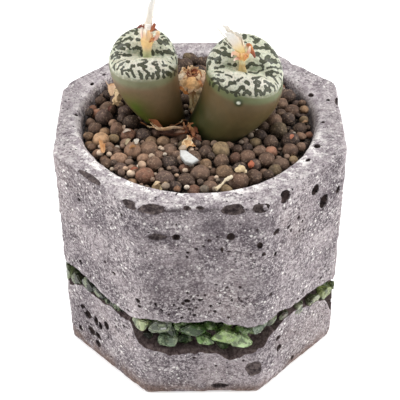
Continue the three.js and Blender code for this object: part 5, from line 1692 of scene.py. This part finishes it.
def left_wisps(foot):
    draw = stream(LEFT_WISP_SEED)
    parts = []
    for _ in range(LEFT_WISPS):
        turn, reach = 2 * math.pi * draw(), mix(0.3, 1.0, draw())
        out, aside = reach * math.cos(turn), reach * math.sin(turn)
        top = mix(11, 16.5, draw())
        half = (0.8 + 0.6 * out, 0.3 + 0.6 * aside, 0.5 * (top + 7.5))
        path = from_foot(foot, [(0.3, 0.1, 7.5), half, (1.9 + out, 0.8 + aside, top)])
        parts.append(tube(path, [0.13, 0.1, 0.06], [TISSUE, WHITE_TISSUE], sides=6, steps=14, seed=129))
    return parts


def right_wisps(foot):
    parts = []
    for tip in RIGHT_WISP_TIPS:
        half = (0.55 * tip[0] + 0.6, 0.6 * tip[1], 0.62 * tip[2])
        path = from_foot(foot, [(-0.3, 0.1, 4.8), half, tip])
        parts.append(tube(path, [0.14, 0.1, 0.06], [CREAM, WHITE_TISSUE], sides=6, steps=16, seed=163))
    return parts


def make_flowers(material):
    for side, wisps in (("left", left_wisps), ("right", right_wisps)):
        foot = face_points(HEADS[side], np.zeros(1), np.zeros(1))[0]
        parts = [
            kind(from_foot(foot, steps), wide, tints, seed=FLOWER_SEEDS[side] + 2 * number, **options)
            for number, (kind, steps, wide, tints, options) in enumerate(FLOWER_LIMBS[side])
        ]
        tinted_piece(f"flower_{side}_tissue", parts + wisps(foot), material, f"flower_{side}")


# Seed capsule and sheath
CAPSULE_CENTRE = (-1.7, 4.3, 70.1)
CAPSULE_STALK = [(-1.4, 7.0, 53), (-1.4, 7.0, 59), (-1.5, 6.0, 64), (-1.7, 4.3, 69.3)]
TAN = linear(220, 176, 130)
PALE_TAN = linear(240, 212, 176)
BROWN = linear(128, 72, 40)
OLIVE_TAN = linear(166, 148, 104)
DARK_BROWN = linear(70, 42, 28)
CAPSULE_PETALS = 10
CAPSULE_FOLDS = 7
CAPSULE_THREADS = 26
STALK_FIBRES = 10


def crumpled(part, reach, size, seed, mottle=0.0):
    """A part with its surface pushed about and its colour made uneven."""
    vertices, faces, tints = part
    push = np.stack([noise(vertices, size, seed + axis) for axis in range(3)], 1)
    shade = 1 - mottle * step_between(-0.1, 0.7, noise(vertices, 0.9 * size, seed + 5))
    return vertices + reach * push, faces, tints * shade[:, None]


# Lobes of the capsule that the picture shows: pixel and depth of each step, half-widths, colours
CAPSULE_LOBES = [
    ([(181.5, 80.0, 2.4), (186, 83.0, 1.2), (192, 84.0, 0.7), (197.5, 85.5, 1.0), (202, 85.5, 2.0)],
     [0.5, 1.1, 1.35, 0.9, 0.35], [(255, 226, 180), (246, 190, 124), (255, 214, 158), (232, 168, 110)]),
    ([(182.5, 82.0, 2.8), (181.2, 77.5, 2.4), (183.5, 72.5, 3.2)], [0.6, 1.1, 0.5],
     [(255, 214, 160), (255, 240, 212), (255, 232, 198)]),
    ([(201, 86.0, 2.4), (203.4, 80.5, 1.9), (205.5, 75.0, 2.9)], [0.4, 1.0, 0.6],
     [(244, 178, 120), (255, 226, 198), (255, 216, 180)]),
    ([(180.5, 86.5, 2.8), (183.5, 90, 2.3), (187.0, 93.5, 2.2)], [0.4, 0.6, 0.4],
     [(200, 122, 66), (248, 180, 108), (222, 138, 74)]),
]
# Torn skin that hangs on the stalk: steps, half-widths, colours
STALK_SKIN = [
    ([(-2.4, 3.2, 68.2), (-2.2, 2.6, 65.4), (-2.6, 2.8, 62.9)], [0.4, 0.8, 0.3],
     [BROWN, (206, 192, 146), OLIVE_TAN]),
    ([(-0.6, 3.5, 68.4), (-0.4, 3.0, 65.9), (-1.3, 3.2, 63.2)], [0.3, 0.7, 0.3],
     [OLIVE_TAN, (224, 208, 164), OLIVE_TAN]),
    ([(-2.2, 3.2, 64.4), (-1.7, 2.9, 62.6), (-2.2, 3.1, 61.2)], [0.3, 0.7, 0.3],
     [OLIVE_TAN, (214, 200, 156), BROWN]),
]
CAPSULE_CREAM = linear(255, 228, 186)
CAPSULE_PEACH = linear(240, 178, 124)
CAPSULE_DRAW_SEED = 175


def capsule_petal(petal, draw):
    """A petal of the opened capsule. The ones in front hang down and the others stand up."""
    turn = 2 * math.pi * (petal + 0.5 * draw()) / CAPSULE_PETALS
    out, aside = math.cos(turn), math.sin(turn)
    lean = mix(0.9, 1.1, draw())
    top = mix(1.6, 2.9, draw())
    if aside < -0.25:
        steps = [(1.2, -1.2), (2.4, 0.1), (2.9, 0.7), (3.3, mix(-1.7, -0.8, draw()))]
        wide = [0.8, 1.2, 1.4, 0.8]
    else:
        steps = [(1.0, -0.7), (2.4, 0.5), (2.9, 0.6 * top), (mix(1.7, 2.8, draw()), top)]
        wide = [0.8, 1.1, 1.2, 0.6]
    path = from_foot(CAPSULE_CENTRE, [(lean * far * out, lean * far * aside, rise) for far, rise in steps])
    tip = CAPSULE_CREAM if draw() < 0.55 else CAPSULE_PEACH
    # Painted shade: darker at the petal's foot inside the cup
    tints = [0.6 * CAPSULE_PEACH, 0.95 * CAPSULE_PEACH, tip, CAPSULE_CREAM]
    part = blade(path, wide, tints, up=(out, aside, 0), cup=mix(-0.6, 0.2, draw()), ragged=0.5, thick=0.16,
                 seed=177 + petal)
    return crumpled(part, 0.6, 1.1, 187 + petal, 0.35)


def capsule_fold(fold, draw):
    """A fold inside the ring of petals."""
    turn = 2 * math.pi * (fold + 0.6 * draw()) / CAPSULE_FOLDS
    out, aside = math.cos(turn), math.sin(turn)
    outer, inner = (2.1, mix(1.0, 1.8, draw())), (1.2, mix(1.6, 2.4, draw()))
    steps = [(1.9, 0.2), outer, inner, (mix(0.2, 0.8, draw()), 1.6)]
    path = from_foot(CAPSULE_CENTRE, [(far * out, far * aside, rise) for far, rise in steps])
    tip = chosen([(CAPSULE_PEACH, 2), (CAPSULE_CREAM, 2), (linear(150, 78, 48), 3)], draw())
    # Painted shade: darker at the fold's foot inside the cup
    tints = [0.35 * CAPSULE_PEACH, tip, tip, CAPSULE_PEACH]
    part = blade(path, [0.5, 0.75, 0.7, 0.3], tints, up=(out, aside, 0.3), cup=mix(-0.7, 0.5, draw()),
                 ragged=0.5, seed=321 + fold)
    return crumpled(part, 0.5, 0.9, 331 + fold, 0.35)


def capsule_thread(thread, draw):
    """A dark thread that stands in the middle of the capsule."""
    turn = 2 * math.pi * draw()
    reach = mix(0.3, 1.9, math.sqrt(draw()))
    bend = turn + mix(-1.8, 1.8, draw())
    top = mix(1.6, 2.9, draw())
    path = from_foot(CAPSULE_CENTRE, [
        (0.5 * reach * math.cos(turn), 0.5 * reach * math.sin(turn), 0.3),
        (0.9 * reach * math.cos(turn), 0.9 * reach * math.sin(turn), 0.8 * top),
        (reach * math.cos(bend), reach * math.sin(bend), top),
    ])
    shade = mix(0.6, 1.6, draw())
    tints = [DARK_BROWN * shade, linear(128, 58, 38) * shade]
    return tube(path, [0.2, 0.15, 0.09], tints, sides=6, steps=12, seed=201 + thread)


def stalk_fibre(fibre, draw):
    turn = 2 * math.pi * draw()
    out, aside = 0.8 * math.cos(turn), 0.8 * math.sin(turn)
    path = [
        (-1.4 + out, 6.6 + aside, mix(59.6, 61, draw())),
        (-1.5 + 1.15 * out, 5.4 + aside, 64.2),
        (-1.7 + 1.3 * out, 4.2 + aside, mix(65.4, 67.4, draw())),
    ]
    tint = chosen([(OLIVE_TAN, 2), (TAN, 1), (linear(220, 206, 164), 2)], draw())
    part = blade(path, [0.3, 0.6, 0.5, 0.1], [0.5 * tint, tint, tint], up=(1, 0.4, 0), cup=0.6, ragged=0.5,
                 seed=301 + fibre)
    return crumpled(part, 0.25, 0.9, 311 + fibre, 0.6)


def capsule_parts():
    """The stalk, the cup on it, and what stands on the cup."""
    cup = from_foot(CAPSULE_CENTRE, [(0, 0, -1.3), (0, 0, -0.6), (0, 0, 0.2), (0, 0, 0.8)])
    parts = [
        tube(CAPSULE_STALK, [0.9, 1.0, 1.0, 0.9, 1.2], [DARK_BROWN, OLIVE_TAN, OLIVE_TAN, BROWN],
             ridges=0.16, rough=0.2, steps=44, seed=171),
        tube(cup, [0.5, 1.5, 2.1, 2.2, 1.4], [BROWN, TAN, DARK_BROWN, DARK_BROWN],
             sides=28, steps=20, ridges=0.05, rough=0.14, seed=173),
    ]
    draw = stream(CAPSULE_DRAW_SEED)
    for count, kind in (
        (CAPSULE_PETALS, capsule_petal), (CAPSULE_FOLDS, capsule_fold), (CAPSULE_THREADS, capsule_thread),
        (STALK_FIBRES, stalk_fibre),
    ):
        parts += [kind(number, draw) for number in range(count)]
    for number, (steps, wide, tints) in enumerate(CAPSULE_LOBES):
        path = [seen_on_plane(px, py, (0, depth, 0), np.array([0, -1.0, 0])) for px, py, depth in steps]
        part = blade(path, wide, tints, up=(0, -0.8, 0.5), cup=-0.5, ragged=0.35, thick=0.16,
                     seed=371 + number)
        parts.append(crumpled(part, 0.45, 1.0, 381 + 7 * number, 0.3))
    for path, wide, tints in STALK_SKIN:
        part = blade(path, wide, tints, up=(1, 0.4, 0), cup=0.5, ragged=0.4, seed=231)
        parts.append(crumpled(part, 0.25, 0.8, 233, 0.65))
    return parts


SHEATH_STEPS = 90
# The strip's rows from the bottom: height, how far it flares out from the head
SHEATH_ROWS = [(59.4, 0), (60.4, 0.05), (61.1, 0.12), (61.7, 0.35), (62.3, 0.8), (62.6, 1.1)]
# Colours from the strip's foot to its torn top: brown, darkened at the foot as painted shade, and pale at the
# top
PALE_SHEATH = [DARK_BROWN, BROWN, (132, 84, 48), (228, 204, 162)]
DARK_SHEATH = [DARK_BROWN, DARK_BROWN, (84, 50, 30), (150, 98, 58)]
# Curled shreds of it: pixel and height of each step, half-widths, colours, shape, crumpling
SHEATH_SHREDS = [
    ([(149, 119, 64.0), (155, 123, 63.4), (163, 129, 62.2)], [0.3, 0.8, 0.3],
     [(140, 84, 48), (166, 100, 56), BROWN], dict(up=(0, 0, 1), cup=0.8, seed=241), None),
    ([(151, 123, 62.4), (157, 128.5, 62.6), (165, 129.5, 63.2), (174, 127.5, 63.4), (184, 129, 63.0)],
     [0.3, 0.7, 0.75, 0.6, 0.3], [TAN, PALE_TAN, TAN, PALE_TAN, (170, 120, 80)],
     dict(up=(0, 0.6, 1), cup=0.9, ragged=0.4, seed=243), None),
    ([(195, 138, 61.6), (192, 130, 63.0), (188, 123, 63.6)], [0.5, 1.0, 0.9, 0.3],
     [BROWN, (140, 90, 54), (196, 148, 98)], dict(up=(1, 0, 0.4), cup=0.7, ragged=0.5, seed=245),
     (0.35, 0.8, 361)),
    ([(189, 134, 61.8), (186, 128, 62.8), (183, 124, 63.2)], [0.4, 0.8, 0.3],
     [DARK_BROWN, (110, 68, 40), (150, 106, 66)], dict(up=(1, 0, 0.6), cup=0.7, ragged=0.5, seed=249),
     (0.3, 0.8, 363)),
    ([(158, 131.5, 61.6), (166, 134, 61.8), (176, 134, 62.2), (187, 132, 62.6)], [0.5, 1.5, 1.6, 0.6],
     [DARK_BROWN, (62, 38, 26), (76, 46, 30), BROWN],
     dict(up=(0, 0.3, 1), cup=0.7, ragged=0.3, seed=247), None),
]


def sheath_strip():
    """The torn strip round the foot of the left head."""
    head = HEADS["left"]
    rings, shades = [], []
    for step in range(SHEATH_STEPS + 1):
        share = step / SHEATH_STEPS
        angle = math.radians(mix(SHEATH_FROM, SHEATH_TO, share))
        taper = math.sin(math.pi * mix(0.12, 0.88, share))
        tear = noise(np.array([[9 * share, 0, 0], [30 * share, 5, 0], [6 * share, 9, 4]]), 1.0, 33)
        wave = 0.35 * math.sin(9 * share) + 0.25 * math.sin(23 * share) + 0.7 * tear[0] + 0.45 * tear[1]
        inner, outer = [], []
        for level, (z, flare) in enumerate(SHEATH_ROWS):
            height = HEAD_BASE_Z + (z - HEAD_BASE_Z) * taper + max(level - 1, 0) / 4 * 0.7 * wave
            rise = head_share(head, height)
            x, y = head_centre(head, rise)
            spread = (flare + 0.3 * max(level - 2, 0) * tear[2]) * taper
            near = head_radius(head, rise) + CLEARANCE + spread + 0.15
            far = near + (0.35 if level < 5 else 0.2)
            inner.append((x + near * math.cos(angle), y + near * math.sin(angle), height))
            outer.append((x + far * math.cos(angle), y + far * math.sin(angle), height))
        rings.append(np.array(outer + inner[::-1]))
        shades.append(tear[2])
    rows = len(SHEATH_ROWS)
    level = np.tile([*range(rows), *range(rows - 1, -1, -1)], len(rings)) / (rows - 1)
    pale = np.repeat(np.array(shades[::-1]) > 0.05, 2 * rows)[:, None]
    tints = [sampled([shown(tint) for tint in tints], level) for tints in (PALE_SHEATH, DARK_SHEATH)]
    return *ring_solid(rings[::-1]), np.where(pale, *tints)


def sheath_parts():
    parts = [sheath_strip()]
    for spots, wide, tints, shape, crumpling in SHEATH_SHREDS:
        part = blade(at_heights(spots), wide, tints, **shape)
        parts.append(crumpled(part, *crumpling) if crumpling else part)
    return parts


def make_dry_parts(material):
    # The capsule's husk glows a little, as painted light
    capsule_husk = dry_material("capsule_husk", 0.75, 0.0, 0.5, 0.16)
    tinted_piece("capsule_and_stalk", capsule_parts(), capsule_husk, "seed_capsule")
    tinted_piece("sheath_strip", sheath_parts(), material, "sheath")


# Scraps that lie on the grains
def highest_grain(grains, x, y):
    """The top of the grains under a place."""
    gap = np.hypot(grains[:, 0] - x, grains[:, 1] - y)
    over = gap < grains[:, 3]
    if not over.any():
        return bed_height(x, y)
    return (grains[over, 2] + np.sqrt(grains[over, 3] ** 2 - gap[over] ** 2)).max()


def rests(part, grains, gap=0.05):
    """A part dropped until it touches the grains."""
    vertices, faces, tints = part
    lift = max(highest_grain(grains, x, y) - z for x, y, z in vertices[:: max(1, len(vertices) // 60)])
    return vertices + (0, 0, lift + gap), faces, tints


def crumb(place, size, tint, seed, squash=(1, 0.8, 0.6)):
    unit, faces = ball(3)
    uneven = 1 + 0.3 * noise(unit * 1.3 + seed, 1.0, seed) + 0.12 * noise(unit * 4, 1.0, seed + 1)
    flat = np.where(np.abs(uneven - 1) > 0.18, 1 + 0.18 * np.sign(uneven - 1), uneven)
    vertices = unit * flat[:, None] * squash * size
    vertices = vertices @ rotation("Z", 1.7 * seed).T + place
    shade = 1 + 0.15 * noise(unit * 3, 1.0, seed + 2)
    return vertices, faces, shade[:, None] * shown(tint)


# The outline of the white chip in the picture, and how high its rim lies
SHARD_OUTLINE = [(180, 158), (185, 164), (192, 165.5), (199, 162), (192, 157), (186, 152.5), (180, 152)]
SHARD_HEIGHT = 62.0


def shard():
    """The flat white chip with broken edges."""
    rim = np.array([at_height(px, py, SHARD_HEIGHT) for px, py in SHARD_OUTLINE])
    middle = rim.mean(0)
    rings = [mix(rim, middle, 0.15) - (0, 0, 0.9), rim, mix(rim, middle, 0.14) + (0, 0, 0.35)]
    # Painted shade: the chip's sides darker than its top
    side, face = linear(158, 162, 160), linear(226, 229, 227)
    return *ring_solid(rings), np.repeat([side, side, face], len(rim), axis=0)


def scrap_parts():
    """The node of each scrap with its finer parts, and a finish slot for each that nothing uses."""
    low_flake = blade(
        [(-4.8, -12.2, 0.4), (-3.2, -11.2, 1.0), (-0.9, -11.0, 0.4)], [0.4, 1.0, 1.0, 0.3],
        [PALE_TAN, (232, 192, 142), (206, 150, 98)], up=(0, 0, 1), cup=0.6, ragged=0.5, seed=251,
    )
    high_flake = blade(
        [(-3.7, -11.6, 0.6), (-2.8, -9.8, 1.5), (-2.1, -8.0, 1.0)], [0.5, 1.0, 0.8, 0.3],
        [(236, 206, 156), (246, 226, 188), (202, 140, 88)], up=(0.6, 0, 1), cup=0.8, ragged=0.5, seed=252,
    )
    root = tube(
        [(3.5, -27.0, 0.4), (4.8, -25.7, 0.7), (5.9, -24.6, 1.2), (7.2, -23.6, 1.4)],
        [0.55, 0.3, 0.25, 0.5, 0.4], [(230, 214, 180), (242, 230, 202)], rough=0.3, seed=253,
    )
    pale_crumbs = [
        crumb((9.1, -22.0, 0), 1.0, (224, 202, 160), 17, (1.2, 0.9, 0.75)),
        crumb((10.3, -21.4, 0.3), 0.62, (236, 218, 182), 19),
    ]
    orange_crumb = crumb((11.9, -17.8, 0), 0.95, (186, 106, 76), 47, (1.05, 0.7, 0.75))
    husk_back = blade(
        [(-23.2, 14.4, 0.6), (-22.6, 12.2, 1.6), (-22.3, 9.3, 0.6)], [0.6, 1.2, 1.0, 0.5],
        [TAN, (232, 200, 168), PALE_TAN], up=(0.4, 0, 1), cup=0.9, ragged=0.5, seed=255,
    )
    husk_middle = tube(
        [(-20.2, 9.8, 0.5), (-20.3, 7.4, 0.9), (-20.8, 4.4, 0.5)], [0.8, 1.15, 0.85, 1.1, 0.7],
        [(218, 194, 150), (228, 204, 162), (214, 184, 140)], rough=0.4, ridges=0.2, seed=257,
    )
    husk_front = blade(
        [(-23.0, -9.6, 0.4), (-23.4, -11.4, 1.2), (-23.0, -13.6, 0.5)], [0.4, 0.85, 0.75, 0.3],
        [TAN, (218, 160, 104), TAN], up=(0.5, 0, 1), cup=1.0, ragged=0.4, seed=259,
    )
    return {
        "white_chip": ([shard()], "pale_mineral"),
        "pale_flake": ([crumpled(low_flake, 0.35, 1.2, 351), crumpled(high_flake, 0.35, 1.0, 353)], "husk"),
        "root_flake": ([root], "husk"),
        "pale_crumb": (pale_crumbs, "pale_mineral"),
        "orange_crumb": ([orange_crumb], "pale_mineral"),
        "husk_back": ([husk_back], "husk"),
        "husk_middle": ([husk_middle], "husk"),
        "husk_front": ([husk_front], "husk"),
    }


# Small scraps of the picture that the frame leaves out: pixel, length and half-width in
# millimetres, turn in degrees, colour.
LOOSE_SCRAPS = [
    (193, 125, 2.6, 0.5, 70, (156, 92, 54)), (196, 131, 2.4, 0.5, 110, (130, 74, 46)),
    (190, 129, 2.2, 0.45, 40, (172, 110, 66)), (192, 135, 2.0, 0.4, 150, (116, 66, 42)),
    (188, 133, 1.8, 0.4, 100, (92, 52, 36)), (127, 134, 1.9, 0.6, 20, (222, 206, 190)),
    (124, 131, 1.4, 0.5, 100, (206, 182, 160)), (137, 146, 1.7, 0.6, 80, (226, 218, 204)),
    (128, 144, 2.0, 0.5, 60, (196, 182, 150)), (133, 151, 1.6, 0.5, 10, (186, 140, 92)),
    (166, 182, 1.8, 0.5, 120, (214, 184, 142)), (157, 182, 1.6, 0.5, 30, (222, 200, 164)),
    (161, 184, 1.5, 0.4, 80, (206, 190, 150)), (134, 170, 1.8, 0.5, 10, (152, 90, 66)),
    (292, 139, 1.5, 0.5, 60, (192, 124, 96)), (249, 188, 2.0, 0.5, 20, (176, 120, 84)),
    (240, 168, 2.0, 0.5, 100, (226, 214, 176)), (305, 122, 1.4, 0.4, 10, (176, 142, 108)),
    (110, 112, 1.8, 0.5, 80, (108, 66, 56)), (198, 139, 1.8, 0.4, 150, (104, 62, 42)),
    (215, 137, 1.4, 0.3, 0, (176, 142, 92)),
]
LOOSE_SCRAP_HEIGHT = 61.5
LOOSE_SCRAP_SEED = 261


def make_scraps(material, grains):
    grains = np.array(grains)
    for name, (parts, slot) in scrap_parts().items():
        tinted_piece(f"{name}_piece", [rests(part, grains) for part in parts], material, name)
    parts = []
    for number, (px, py, length, half, degrees, tint) in enumerate(LOOSE_SCRAPS):
        middle = at_height(px, py, LOOSE_SCRAP_HEIGHT)
        turn = math.radians(degrees)
        way = np.array([math.cos(turn), math.sin(turn), 0]) * length / 2
        path = [middle - way, middle + (0, 0, 0.4), middle + way + (0, 0, 0.3)]
        part = blade(path, [0.4 * half, half, 0.3 * half], [0.8 * linear(*tint), tint, tint], up=(0, 0, 1),
                     cup=0.7, ragged=0.4, steps=14, seed=LOOSE_SCRAP_SEED + number)
        parts.append(rests(part, grains))
    tinted_piece("loose_scraps", parts, material)


# Glass chips
# Chips that the picture shows: facet, pixel, half-width and half-height in pixels, depth of the
# middle behind the facet, lean in degrees, colour.
SEEN_CHIPS = [
    (0, 140, 323.5, 9, 7.5, 1.7, 10, (160, 170, 128)),
    (0, 159.5, 326.5, 11.5, 8.5, 1.5, -8, (196, 208, 182)), (0, 174, 330, 7, 9, 4.0, 0, (48, 66, 34)),
    (0, 168, 340, 10.5, 8, 2.4, 12, (118, 138, 110)), (0, 193.5, 328.5, 15, 7.5, 2.0, -6, (72, 102, 50)),
    (0, 206, 338.5, 10.5, 7.2, 2.3, 8, (108, 136, 82)), (0, 212, 326, 8, 5.5, 2.9, 0, (90, 120, 58)),
    (0, 225, 334, 12.5, 10, 1.7, -5, (134, 158, 94)), (0, 240, 339, 12, 10.5, 1.9, 14, (156, 178, 128)),
    (0, 243, 329.5, 8, 6, 2.6, 0, (98, 130, 64)), (0, 184, 338.5, 8, 6, 3.8, 0, (46, 68, 34)),
    (0, 146, 336, 8, 6, 4.4, 0, (50, 52, 42)), (0, 222, 345, 9, 5, 3.6, 0, (64, 90, 42)),
    (1, 259, 326.5, 9, 5.5, 1.4, -20, (124, 138, 118)), (1, 271, 319.5, 7, 5, 1.1, -30, (86, 88, 72)),
    (1, 284, 314.5, 5.5, 5, 0.9, -30, (106, 98, 88)), (1, 298, 308, 8.5, 7.5, 0.9, -25, (126, 128, 108)),
    (1, 312, 301, 8.5, 7.5, 0.9, -35, (132, 134, 108)), (1, 324, 291.5, 7, 8, 1.1, -20, (130, 140, 84)),
    (1, 332, 285, 4, 6, 1.0, 0, (104, 116, 66)), (7, 69, 269, 7, 10, 1.4, 20, (82, 90, 62)),
    (7, 78, 278, 7, 8, 1.4, 30, (88, 90, 74)), (7, 89, 283, 8.5, 7, 1.2, 35, (52, 55, 46)),
    (7, 100, 292, 7.5, 7, 1.2, 35, (46, 48, 42)), (7, 110, 302, 6, 6, 1.6, 40, (44, 46, 40)),
    (7, 118, 307, 8.5, 8.5, 1.8, 40, (66, 68, 58)),
]
# Colours of the other chips and how often each one comes
GLASS_TINTS = [
    ((98, 124, 66), 4), ((124, 146, 96), 3), ((144, 160, 118), 3), ((72, 94, 52), 3), ((104, 118, 94), 2),
    ((160, 168, 118), 1), ((84, 88, 70), 1),
]
GLASS_NODES = [
    "glass_front", "glass_front_right", "glass_right", "glass_back_right", "glass_back", "glass_back_left",
    "glass_left", "glass_front_left", "glass_front_left_end",
]
# Where the chips of the last facet are split into two nodes
GLASS_SPLIT = 3.4
GLASS_SEED = 83
# How much nearer the chips are to the camera than the point that it aims at
CHIPS_NEARER = 22
# The chips of the facet that the picture shows dark
DARK_FACET = 7
DARK_FACET_SHADE = 0.4
CHIP_CORNERS = 13
CHIP_BEVEL = 0.26
CHIP_RECESS = 0.15


def chip_part(centre, halves, facet, lean, tint, seed):
    """A broken piece of glass with worn edges, kept inside the facet's plane."""
    draw = stream(seed)
    points = []
    for corner in range(CHIP_CORNERS):
        rise = (2 * corner + 1) / CHIP_CORNERS - 1 + 0.12 * (draw() - 0.5)
        turn = 2.4 * corner + 1.1 * draw()
        reach = math.sqrt(max(0, 1 - rise * rise))
        point = np.array([reach * math.cos(turn), reach * math.sin(turn), rise])
        points.append(point * mix(0.8, 1.08, draw()))
    shape = bmesh.new()
    for point in points:
        shape.verts.new(point * halves)
    hull = bmesh.ops.convex_hull(shape, input=shape.verts)
    loose = [item for item in hull["geom_interior"] if isinstance(item, bmesh.types.BMVert)]
    bmesh.ops.delete(shape, geom=loose, context="VERTS")
    bmesh.ops.dissolve_limit(shape, angle_limit=math.radians(9), verts=shape.verts, edges=shape.edges)
    bmesh.ops.bevel(shape, geom=shape.edges[:], offset=CHIP_BEVEL, segments=2, affect="EDGES",
                    clamp_overlap=True)
    bmesh.ops.triangulate(shape, faces=shape.faces)
    shape.verts.index_update()
    vertices, faces = taken_out(shape)
    turned = rotation("Z", facet_turn(facet) + math.pi / 2) @ rotation("Y", math.radians(lean))
    vertices = vertices @ turned.T + centre
    for side in range(FACETS):
        vertices = planed(vertices, facet_normal(side), APOTHEM - CHIP_RECESS)
    corners = vertices[np.array(faces)]
    face_normals = np.cross(corners[:, 1] - corners[:, 0], corners[:, 2] - corners[:, 0])
    twice_area = np.linalg.norm(face_normals, axis=1)
    face_normals /= twice_area[:, None] + 1e-9
    # Painted light and shade: each facet lighter or darker by the way it faces, and pale painted highlights
    # on the narrow bevel faces at the edges
    shade = np.maximum(1.35 + 1.2 * noise(face_normals * 1.2 + seed, 1.0, seed), 0.3)
    edge_highlight = 0.7 * (1 - step_between(0.1, 0.4, twice_area))
    edge = np.minimum(2.2 * tint + 0.08, 0.85)
    return vertices, faces, mix(shade[:, None] * tint, edge, edge_highlight[:, None])


def seen_chip_spots():
    """Facet, middle, half sizes, lean and colour of the chips that the picture shows."""
    spots = []
    pixels_per_mm = FOCAL_PIXELS / (CAMERA_DISTANCE - CHIPS_NEARER)
    for facet, px, py, half_wide, half_tall, depth, lean, tint in SEEN_CHIPS:
        normal = facet_normal(facet)
        centre = seen_on_plane(px, py, normal * (APOTHEM - depth), normal)
        wide = 1.3 * half_wide / pixels_per_mm / (1 if facet == 0 else 0.8)
        tall = 1.25 * half_tall / pixels_per_mm
        spots.append((facet, centre, (wide, 0.9 * tall, tall), lean, linear(*tint)))
    return spots


# How high each row of the other chips lies in the band, as a share
CHIP_ROWS = (0.26, 0.55, 0.8)


def other_chip_spots():
    """The same for chips in rows round the band. On the facets seen they lie deep, behind the seen ones."""
    spots = []
    draw = stream(GLASS_SEED)
    for facet in range(FACETS):
        facing = facet in FACETS_SEEN
        for row, share in enumerate(CHIP_ROWS):
            along = -HALF_FACET + 1.6 + 2 * draw()
            while along < HALF_FACET - 1.0:
                place = round_place(facet, along)
                low = float(edge_height(BAND_BOTTOM, place))
                high = float(edge_height(BAND_TOP, place))
                size = mix(1.5, 2.7, draw())
                tall = min(size, 0.42 * (high - low))
                rise = share + 0.12 * (draw() - 0.5)
                depth = mix(0.9, 1.6, draw()) + 0.8 * tall
                tint = shown(chosen(GLASS_TINTS, draw())) * mix(0.85, 1.15, draw())
                lean = 50 * (draw() - 0.5)
                step = mix(1.35, 1.8, draw()) * size
                if facing:
                    depth = mix(3.6, 4.4, draw()) + (0 if row else 1.2)
                if facet == DARK_FACET:
                    tint = DARK_FACET_SHADE * tint
                if high - low >= 3 and not (facing and row == 0):
                    centre = facet_point(facet, along, 1, mix(low, high, rise)) - depth * facet_normal(facet)
                    spots.append((facet, centre, (size, 0.85 * size, tall), lean, tint))
                along += step
    return spots


def make_glass(material):
    parts = {name: [] for name in GLASS_NODES}
    for number, (facet, centre, halves, lean, tint) in enumerate(seen_chip_spots() + other_chip_spots()):
        past_split = facet == FACETS - 1 and distance_along(facet, centre) > GLASS_SPLIT
        name = GLASS_NODES[facet + past_split]
        parts[name].append(chip_part(centre, halves, facet, lean, tint, 301 + 7 * number))
    for name, chips in parts.items():
        tinted_piece(f"{name}_chips", chips, material, name, 34, "FACE")


# Floor, light and camera
WORLD_STRENGTH = 0.38
# Place, size and power of each lamp, in metres and watts
LAMPS = {
    "top_light": ((0.06, 0.12, 0.8), 0.5, 2.7),
    "left_light": ((-0.7, -0.05, 0.42), 0.5, 3.8),
    "right_light": ((0.7, -0.05, 0.42), 0.5, 4.0),
}
LAMP_AIM = Vector((0, 0, 0.05))


def make_stage():
    bpy.ops.mesh.primitive_plane_add(size=3, location=(0, 0, 0))
    floor = bpy.context.object
    floor.name = "floor"
    floor.data.materials.append(floor_material())
    scene = bpy.context.scene
    scene.view_settings.view_transform = "Standard"
    scene.world = bpy.data.worlds.new("studio")
    scene.world.use_nodes = True
    background = scene.world.node_tree.nodes["Background"]
    background.inputs["Color"].default_value = (1, 1, 1, 1)
    background.inputs["Strength"].default_value = WORLD_STRENGTH
    for name, (place, size, power) in LAMPS.items():
        lamp = bpy.data.lights.new(name, "AREA")
        lamp.size = size
        lamp.energy = power
        lamp_object = bpy.data.objects.new(name, lamp)
        lamp_object.location = place
        lamp_object.rotation_euler = (LAMP_AIM - Vector(place)).to_track_quat("-Z", "Y").to_euler()
        scene.collection.objects.link(lamp_object)


def make_camera():
    right, up, back = camera_axes()
    camera = bpy.data.cameras.new("camera")
    camera.sensor_width = SENSOR_MM
    camera.lens = SENSOR_MM * FOCAL_PIXELS / PICTURE
    camera.clip_start = 0.01
    camera_object = bpy.data.objects.new("camera", camera)
    turn = Matrix((right, up, back)).transposed().to_4x4()
    spot = CAMERA_TARGET + back * CAMERA_DISTANCE
    camera_object.matrix_world = Matrix.Translation(Vector(spot * MM)) @ turn
    bpy.context.scene.collection.objects.link(camera_object)
    bpy.context.scene.camera = camera_object


make_camera()
make_stage()
make_pot()
leaf = leaf_material()
make_head("left", leaf)
make_head("right", leaf)
placed = make_grains(grain_material())
# The flowers' tissue glows a little, as painted light
make_flowers(dry_material("dry_tissue", 0.55, 0.1, 0.12, 0.05))
papery = dry_material("papery_husk")
make_dry_parts(papery)
make_scraps(papery, placed)
make_glass(glass_material())
